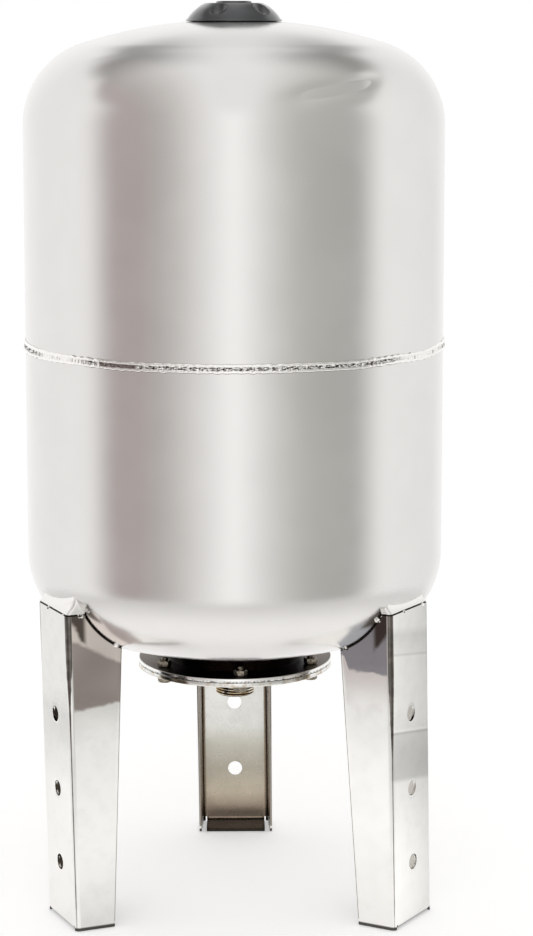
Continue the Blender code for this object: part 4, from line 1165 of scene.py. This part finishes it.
class TANK_OT_flanges(TankOperator, Operator):
    """Scaled neck flange and the bright pressed plate bolted under it"""
    bl_idname = "tank.flanges"
    bl_label = "Water flange"

    def build(self, scene):
        tank, flange, finishes = scene.tank_body, scene.tank_flange, scene.tank_finishes
        levels = flange_heights(tank, flange)
        tube = tank.neck + flange.tube

        def belly(radius):
            """Height just under the lower head at a radius."""
            return body_heights(tank)["lower"] - float(head_rise(tank, radius)) - GAP

        neck = [(tank.neck, belly(tank.neck)), (tube + FILLET, belly(tube + FILLET)),
                (tube, belly(tube) - FILLET), (tube, levels["top"]),
                (flange.radius, levels["top"]), (flange.radius, levels["under"]),
                (tank.neck, levels["under"])]
        slope = flange.groove + 2.0 * MM
        plate = [(slope, levels["counter_top"]), (flange.radius, levels["counter_top"]),
                 (flange.radius, levels["counter_under"]), (slope, levels["counter_under"]),
                 (flange.groove, levels["disc_under"]),
                 (flange.nipple + GAP, levels["disc_under"]),
                 (flange.nipple + GAP, levels["groove"]), (flange.groove, levels["groove"])]
        places = [(x, y, levels["under"]) for x, y in bolt_places(flange)]
        for name, profile, rounding, node, finish, slot in (
                ("neck_flange", neck, 0.5 * MM, "neck_ring",
                 scaled_and_shaded_steel(finishes, flange, levels["under"]), "zinc_steel"),
                ("pressed_plate", plate, 0.7 * MM, "counter_flange", turned_steel(finishes),
                 "leg_steel")):
            points, _ = lathe(rounded(profile, rounding), 240)
            blank = surface_mesh(name, points, close_rows=True)
            drills = drum_mesh(places, (0.0, 0.0, 1.0), flange.bolt + 0.4 * MM, 30 * MM, 32)
            mesh = tidy_mesh(cut_mesh(blank, drills), outward=False)
            add_piece(name, mesh, finish, [node])


class TANK_OT_nipple(TankOperator, Operator):
    """Water nipple with its pipe thread cut along a helix"""
    bl_idname = "tank.nipple"
    bl_label = "Water nipple"

    def build(self, scene):
        flange = scene.tank_flange
        levels = flange_heights(scene.tank_body, flange)
        outer, bore = flange.nipple, flange.nipple_bore
        groove, end = levels["groove"], levels["end"]
        weld_under = levels["disc_under"] - GAP
        edge = 0.4 * MM
        # The chamfer at the foot also leads the thread in
        foot_edge = 1.6 * MM
        top = [(bore, groove), (outer - edge, groove), (outer, groove - edge),
               (outer, weld_under), (outer + FILLET, weld_under),
               (outer + 0.35 * FILLET, weld_under - 0.65 * FILLET)]
        thread = [(outer, z) for z in np.linspace(weld_under - FILLET, end + 1.0 * MM, 150)]
        foot = [(outer - foot_edge, end), (bore + GAP, end), (bore, end + GAP)]
        profile = np.array(top + thread + foot)
        reach, height = profile[:, :1], profile[:, 1:]
        azimuth = np.linspace(0.0, math.tau, 144, endpoint=False)
        # The groove's depth is a triangle wave of height plus turns, faded out at both ends
        wave = zigzag(height / flange.pitch + azimuth / math.tau)
        fade = np.clip((weld_under - FILLET - height) / (1.5 * MM), 0.0, 1.0)
        depth = np.clip(wave * 1.5 - 0.25, 0.0, 1.0) * flange.thread_depth * fade
        lead_in = np.clip(1.0 - (height - end) / foot_edge, 0.0, 1.0)
        on_thread = np.zeros((len(profile), 1))
        on_thread[len(top):-len(foot)] = 1.0
        depth = np.maximum(depth, lead_in * 1.5 * MM) * on_thread
        mesh = surface_mesh("threaded_nipple", turned(reach - depth, height, azimuth),
                            close_rows=True, sharp=40.0)
        add_piece("threaded_nipple", mesh, cut_thread(scene.tank_finishes, flange),
                  ["water_nipple"])


def hex_rows(heights, flats, chamfered, azimuth):
    """Radii of a hexagonal prism at its heights, its corners turned off by cones at some ends."""
    folded = (azimuth + math.pi / 6) % (math.pi / 3) - math.pi / 6
    reach = 0.5 * flats / np.cos(folded) * np.ones((len(heights), 1))
    for end in chamfered:
        off = np.abs(heights - heights[end])[:, None]
        reach = np.minimum(reach, 0.49 * flats + 1.7 * off)
    return reach


class TANK_OT_fasteners(TankOperator, Operator):
    """Hexagon bolts, washers and nuts of the water flange"""
    bl_idname = "tank.fasteners"
    bl_label = "Flange fasteners"

    def build(self, scene):
        flange = scene.tank_flange
        levels = flange_heights(scene.tank_body, flange)
        zinc = zinc_plate_in_painted_shade(scene.tank_finishes)
        washer_top = levels["counter_under"] - GAP
        head_top = washer_top - WASHER - GAP
        nut_under = levels["top"] + GAP
        head_height, nut_height, past_nut = 4.0 * MM, 5.0 * MM, 2.6 * MM
        nut_top = nut_under + nut_height
        end = nut_top + past_nut
        azimuth = np.linspace(0.0, math.tau, 96, endpoint=False)
        ring = np.ones((1, 96))

        head = np.array([0.0, 0.25, 0.6, 1.0, 2.0, 3.2, 4.0]) * MM + head_top - head_height
        head_reach = hex_rows(head, flange.flats, (0,), azimuth)
        rows = np.linspace(head_top, end - 0.6 * MM, 90)
        # The M6 thread starts 3 mm below the nut's top
        pitch, depth = 1.0 * MM, 0.5 * MM
        wave = zigzag(rows[:, None] / pitch + azimuth / math.tau)
        threaded = np.clip((rows[:, None] - nut_top + 3.0 * MM) / depth, 0.0, 1.0)
        shank_reach = flange.bolt - 0.02 * MM - depth * wave * threaded
        reach = np.concatenate([0.0 * ring, head_reach[:1] * 0.94, head_reach, shank_reach,
                                (flange.bolt - 0.7 * MM) * ring, 0.0 * ring])
        height = np.concatenate([head[:1], head[:1], head, rows, [end, end]])
        bolt = turned(reach, height, azimuth)

        nut_rows = np.array([0.0, 0.3, 0.8, 2.5, 4.2, 4.7, 5.0]) * MM + nut_under
        bore = (flange.bolt + GAP) * ring
        flare = 0.5 * MM
        reach = np.concatenate([hex_rows(nut_rows, flange.flats, (0, -1), azimuth),
                                bore + flare, bore, bore, bore + flare])
        height = np.concatenate([nut_rows, [nut_top, nut_top - flare, nut_under + flare,
                                            nut_under]])
        nut = turned(reach, height, azimuth)

        hole, rim, washer_under = flange.bolt + GAP, 6.2 * MM, washer_top - WASHER
        washer, _ = lathe(rounded([(hole, washer_top), (rim, washer_top), (rim, washer_under),
                                   (hole, washer_under)], 0.2 * MM, 2), 64)

        for number, (x, y) in enumerate(bolt_places(flange), 1):
            for name, node, points, closed in (("hex_bolt", "bolt", bolt, False),
                                               ("hex_nut", "nut", nut, True),
                                               ("flat_washer", "washer", washer, True)):
                mesh = surface_mesh(f"{name}_{number}", points + (x, y, 0.0), close_rows=closed)
                add_piece(f"{name}_{number}", mesh, zinc, [f"{node}_{number}"])


def press_balls(points, normals, cap, radius, centre_z):
    """Push points that lie inside a recess ball down along their normals onto its surface.

    With h the ball's centre above the point along the normal, and g the square of the
    radius less the square of the distance, the way down is the root of h2 + g, less h.
    """
    soft, margin = 0.25 * MM, 1.5 * MM
    for i in range(5):
        x, y = circle_point(cap.ball_circle, cap.first_recess + math.tau * i / 5)
        away = points - np.array([x, y, centre_z])
        above = -(away * normals).sum(-1)
        square = (away ** 2).sum(-1)
        down = np.sqrt(np.maximum(above ** 2 + radius ** 2 - square, 0.0)) - above
        down = np.where(above > 0.0, 0.5 * (down + np.sqrt(down ** 2 + soft ** 2)), 0.0)
        near = np.clip((radius + margin - np.sqrt(square)) / margin, 0.0, 1.0)
        points = points - normals * (down * near)[..., None]
    return points


class TANK_OT_cap(TankOperator, Operator):
    """Moulded screw cap with a raised disc and five finger recesses"""
    bl_idname = "tank.cap"
    bl_label = "Valve cap"

    def build(self, scene):
        cap = scene.tank_cap
        low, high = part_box("valve_cap")
        base, disc_z = low.z, high.z
        crown_z = disc_z - cap.disc_height
        lip_z = base + cap.lip
        shoulder = cap.radius - cap.lip_step
        start = np.array([cap.crown, crown_z])
        chord = np.array([shoulder, lip_z]) - start
        outwards = np.array([-chord[1], chord[0]]) / np.linalg.norm(chord)
        share = np.linspace(0.0, 1.0, 46)[:, None]
        side = start + share * chord + outwards * (4.0 * share * (1.0 - share) * cap.bulge)
        edge = cap.disc_height
        turn = np.linspace(0.0, 0.5 * math.pi, 7)
        disc = np.stack([cap.disc - edge + edge * np.sin(turn),
                         disc_z - edge + edge * np.cos(turn)], -1)
        flat = np.array([(x, disc_z) for x in np.linspace(0.0, cap.disc - edge, 6)[:-1]])
        crown = np.array([(x, crown_z)
                          for x in np.linspace(cap.disc + 0.6 * MM, cap.crown, 8)[:-1]])
        corner = 0.35 * MM
        lip = np.array([(shoulder + 0.1 * MM, lip_z - 0.1 * MM),
                        (cap.radius - corner, lip_z - 0.15 * MM),
                        (cap.radius, lip_z - 0.5 * MM), (cap.radius, base + corner),
                        (cap.radius - corner, base)])
        outer = np.concatenate([flat, disc, crown, side, lip])
        ceiling = crown_z - cap.wall
        inner_side = side[::-1] - outwards * cap.wall
        inner_side = inner_side[(inner_side[:, 1] > base + GAP) & (inner_side[:, 1] < ceiling)]
        # The hub clears the boss, whose weld is its widest part, and ends 3 mm above the tank
        boss_weld = 2.2 * MM
        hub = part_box("valve_boss")[1].x - boss_weld + GAP
        hub_end = body_heights(scene.tank_body)["top"] + 3.0 * MM
        inner = [(cap.crown - 0.4 * cap.wall, ceiling), (hub + cap.hub_wall, ceiling),
                 (hub + cap.hub_wall, hub_end), (hub, hub_end), (hub, disc_z - cap.wall),
                 (0.0, disc_z - cap.wall)]
        profile = np.concatenate([outer, [(shoulder - cap.wall, base)], inner_side, inner])
        points, azimuth = lathe(profile, 320)
        slope = np.gradient(outer, axis=0)
        slope /= np.linalg.norm(slope, axis=1)[:, None]
        normals = turned(-slope[:, 1], slope[:, 0], azimuth)
        centre_z = crown_z - cap.ball_drop
        rows = slice(len(flat) + len(disc) + 2, len(outer) - len(lip) + 1)
        points[rows] = press_balls(points[rows], normals[rows], cap, cap.ball, centre_z)
        rows = slice(len(outer) + 1, len(outer) + 1 + len(inner_side))
        points[rows] = press_balls(points[rows], turned(outwards[:1], outwards[1:], azimuth),
                                   cap, cap.ball + cap.wall, centre_z)
        mesh = surface_mesh("screw_cap", points, sharp=38.0)
        add_piece("screw_cap", mesh, cap_plastic(scene.tank_finishes), ["valve_cap"],
                  body="valve_cap")


def spring_mesh(low, high):
    """Coil spring of the air valve: a wire of radius w on a helix.

    Its middle line is (R cos a, R sin a, z0 + a h), and each ring of the wire lies across it.
    """
    wire, radius, turns = 0.22 * MM, 1.35 * MM, 5
    angle = np.linspace(0.0, math.tau * turns, 24 * turns + 1)[:, None]
    ring = np.linspace(0.0, math.tau, 10, endpoint=False)[None, :]
    height = low + wire + (high - low - 2.0 * wire) * angle / angle[-1]
    reach = radius + wire * np.cos(ring)
    points = np.stack([reach * np.cos(angle), reach * np.sin(angle),
                       height + wire * np.sin(ring)], -1)
    for end in (0, -1):
        points[end] = points[end].mean(0)
    return surface_mesh("air_spring", points, sharp=180.0)


class TANK_OT_air_valve(TankOperator, Operator):
    """Spring that the pin presses; boss, air valve and bag keep their CAD shapes"""
    bl_idname = "tank.air_valve"
    bl_label = "Air valve and bag"

    def build(self, scene):
        finishes = scene.tank_finishes
        brass, rubber = turned_brass(finishes), butyl_rubber(finishes)
        for node, finish in (("valve_boss", turned_steel(finishes)), ("air_valve", brass),
                             ("valve_core", brass), ("valve_pin", brass), ("water_bag", rubber)):
            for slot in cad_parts[node].material_slots:
                slot.material = finish
        low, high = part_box("valve_spring")
        spring = add_piece("air_spring", spring_mesh(low.z, high.z), zinc_plate_in_painted_shade(finishes),
                           ["valve_spring"])
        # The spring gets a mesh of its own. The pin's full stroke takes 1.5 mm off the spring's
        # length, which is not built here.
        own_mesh(spring)


# The studio's ramps are kept below 1 and multiplied by this
RAMP_TOP = 1.25
# Tints of the panels: plain, mauve on the left, and a faint yellow on the right
TINTS = {"plain": (1.0, 1.0, 0.995), "mauve": (1.07, 0.957, 0.945), "pink": (1.03, 0.99, 0.965),
         "straw": (1.01, 1.005, 0.962)}
# Each tint's panels in turn: angle in degrees across the front panels, and their light
FRONT_PANELS = (("mauve", ((-90, 0.47), (-66, 0.47), (-50, 0.48))),
                ("pink", ((-40, 0.54), (-30, 0.66))),
                ("plain", ((-16, 0.92), (-6, 1.10), (0, 1.20), (6, 1.08), (16, 0.87))),
                ("straw", ((26, 0.69), (36, 0.58), (46, 0.53), (66, 0.50), (90, 0.48))))
# The same for the side panels, by azimuth in degrees from the camera's side
SIDE_PANELS = (("plain", ((-180, 1.06), (-160, 1.06), (-135, 1.01), (-90, 1.04), (0, 1.0),
                          (90, 1.04), (140, 0.95), (160, 1.02), (180, 1.06))),)
# The same for the wall straight behind the tank, by the elevation's sine
FAR_WALL = (("plain", ((0.0, 1.06), (0.30, 1.06), (0.40, 1.00), (0.50, 0.88), (0.60, 0.90),
                       (0.75, 0.98), (0.90, 1.01))),)


class Studio(Nodes):
    """World of broad panels, white for the camera.

    The front panels run up and overhead, so their light follows the arcsine of x. The
    side panels reach up to an edge that rises with the azimuth, and behind the tank a
    dim zone lies above it.
    """

    def panels(self, value, low, high, groups):
        """Colour ramp of panel lights between low and high."""
        stops = [(place, tuple(light * v / RAMP_TOP for v in TINTS[tint]))
                 for tint, lights in groups for place, light in lights]
        return self.ramp(value, low, high, stops)

    def turn(self, value, low, high, *out):
        """Spread over angles in degrees."""
        return self.spread(value, math.radians(low), math.radians(high), *out)

    def build(self):
        way = self.split(self.add("TexCoord").outputs["Generated"])
        x, y, up = way["X"], way["Y"], way["Z"]
        azimuth = self.math('ARCTAN2', x, self.times(y, -1.0))
        aside, aside_x = self.math('ABSOLUTE', azimuth), self.math('ABSOLUTE', x)
        across = self.spread(self.math('ARCSINE', x), -0.5 * math.pi, 0.5 * math.pi, soft=False)
        front = self.panels(across, -90.0, 90.0, FRONT_PANELS)
        front = self.mix(1.0, front, self.spread(up, 0.1, 0.6, 1.0, 1.01 / RAMP_TOP), 'DARKEN')

        # The dim zone, and a darker gap above the side panels' edge
        dim = self.times(self.spread(aside_x, 0.02, 0.30), self.spread(y, -0.05, 0.62, 0.0, 0.62))
        rise = self.turn(aside, 80.0, 108.0, 0.42, 0.66)
        fall = self.times(self.turn(aside, 150.0, 176.0),
                          self.spread(azimuth, -1.0, 1.0, 0.23, 0.27))
        under = self.minus(self.minus(rise, fall), up)
        gap = self.times(self.spread(under, -0.45, -0.10),
                         self.spread(aside_x, 0.0, 0.13, 0.04, 0.62, soft=False),
                         self.spread(y, 0.30, 0.70))
        front = self.mix(self.larger(dim, gap), front, (0.0, 0.0, 0.0))

        round_about = self.spread(azimuth, -math.pi, math.pi, soft=False)
        side = self.panels(round_about, -180.0, 180.0, SIDE_PANELS)
        inside = self.times(self.spread(under, -0.09, 0.06), self.turn(aside, 66.0, 89.0))
        light = self.mix(inside, front, side)
        far = self.panels(up, 0.0, 1.0, FAR_WALL)
        light = self.mix(self.turn(aside, 173.0, 180.0), light, far)
        light = self.mix(1.0, light, (RAMP_TOP,) * 3, 'MULTIPLY')
        camera = self.add("LightPath").outputs["Is Camera Ray"]
        glow = self.add("Background", {"Color": self.mix(camera, light, (1.0, 1.0, 1.0)),
                                       "Strength": 1.0})
        self.add("OutputWorld", {"Surface": glow.outputs[0]})


class TANK_OT_stage(TankOperator, Operator):
    """Camera, pale floor, and a studio of broad panels with gaps between them"""
    bl_idname = "tank.stage"
    bl_label = "Camera and studio"

    def build(self, scene):
        # Focal length and shift in pixels of the photograph, which is 936 high
        high, focal, shift = 936.0, 2577.9, -90.0
        film = 36.0
        # Place and tilt are fitted to the tank's outline in the photograph
        lens = assign(bpy.data.cameras.new("camera"), sensor_fit='VERTICAL', sensor_height=film,
                      lens=focal / high * film, shift_y=shift / high, clip_end=50.0)
        camera = assign(bpy.data.objects.new("camera", lens), location=(0.0, -2.1515, 0.7477),
                        rotation_euler=(math.radians(90.0 - 8.115), 0.0, math.radians(-0.717)))
        scene.collection.objects.link(camera)
        scene.camera = camera
        self.add_floor(scene)
        scene.world = bpy.data.worlds.new("studio")
        scene.world.use_nodes = True
        scene.world.node_tree.nodes.clear()
        Studio(scene.world.node_tree).build()
        scene.view_settings.view_transform = 'Standard'

    def add_floor(self, scene):
        """White paper disc under the tank; what lies past it shows the studio."""
        rings = np.array([(reach, -0.6 * MM) for reach in (0.0, 0.25, 0.5, 0.75, 1.0)])
        mesh = surface_mesh("paper_floor", lathe(rings, 96)[0])
        floor = bpy.data.objects.new("paper_floor", mesh)
        scene.collection.objects.link(floor)
        material = bpy.data.materials.new("white_paper")
        material.use_nodes = True
        material.node_tree.nodes.clear()
        look = Nodes(material.node_tree)
        paper = look.add("BsdfDiffuse", {"Color": (0.80, 0.80, 0.80)})
        reach = look.length(look.where())
        path = look.add("LightPath").outputs
        mirrored = look.larger(path["Is Glossy Ray"], path["Is Transmission Ray"])
        # Reflections see the paper darken outwards, and the studio past it
        near = look.spread(reach, 0.25, 0.62, 0.52, 0.20)
        lift = look.multiply_add(mirrored, near, look.times(path["Is Camera Ray"], 0.42))
        glow = look.add("Emission", {"Color": (1.0, 1.0, 1.0), "Strength": lift})
        lit = look.add("AddShader", {0: paper.outputs[0], 1: glow.outputs[0]})
        fade = look.times(mirrored, look.spread(reach, 0.60, 0.80))
        clear = look.add("BsdfTransparent")
        both = look.add("MixShader", {0: fade, 1: lit.outputs[0], 2: clear.outputs[0]})
        look.add("OutputMaterial", {"Surface": both.outputs[0]})
        mesh.materials.append(material)


OPERATORS = (TANK_OT_stage, TANK_OT_shells, TANK_OT_girth_weld, TANK_OT_legs, TANK_OT_flanges,
             TANK_OT_nipple, TANK_OT_fasteners, TANK_OT_cap, TANK_OT_air_valve)


class TANK_PT_panel(Panel):
    """Lists the tank's pieces and its main sizes"""
    bl_label = "Well pressure tank"
    bl_space_type = 'VIEW_3D'
    bl_region_type = 'UI'
    bl_category = "Tank"

    def draw(self, context):
        for operator in OPERATORS:
            self.layout.operator(operator.bl_idname)
        for group, name in (("tank_body", "dent"), ("tank_flange", "pitch"),
                            ("tank_finishes", "shell"), ("tank_finishes", "plastic")):
            self.layout.prop(getattr(context.scene, group), name)


GROUPS = {"tank_body": TankBodySizes, "tank_legs": LegSizes, "tank_flange": WaterFlangeSizes,
          "tank_cap": CapSizes, "tank_finishes": Finishes}
CLASSES = (*GROUPS.values(), *OPERATORS, TANK_PT_panel)


def register():
    for item in CLASSES:
        bpy.utils.register_class(item)
    for name, group in GROUPS.items():
        setattr(bpy.types.Scene, name, PointerProperty(type=group))


def unregister():
    for name in GROUPS:
        delattr(bpy.types.Scene, name)
    for item in reversed(CLASSES):
        bpy.utils.unregister_class(item)


def main():
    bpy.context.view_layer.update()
    register()
    bpy.ops.tank.stage()
    bpy.ops.tank.shells()
    bpy.ops.tank.girth_weld()
    bpy.ops.tank.legs()
    bpy.ops.tank.flanges()
    bpy.ops.tank.nipple()
    bpy.ops.tank.fasteners()
    bpy.ops.tank.cap()
    bpy.ops.tank.air_valve()


if __name__ == "__main__":
    main()
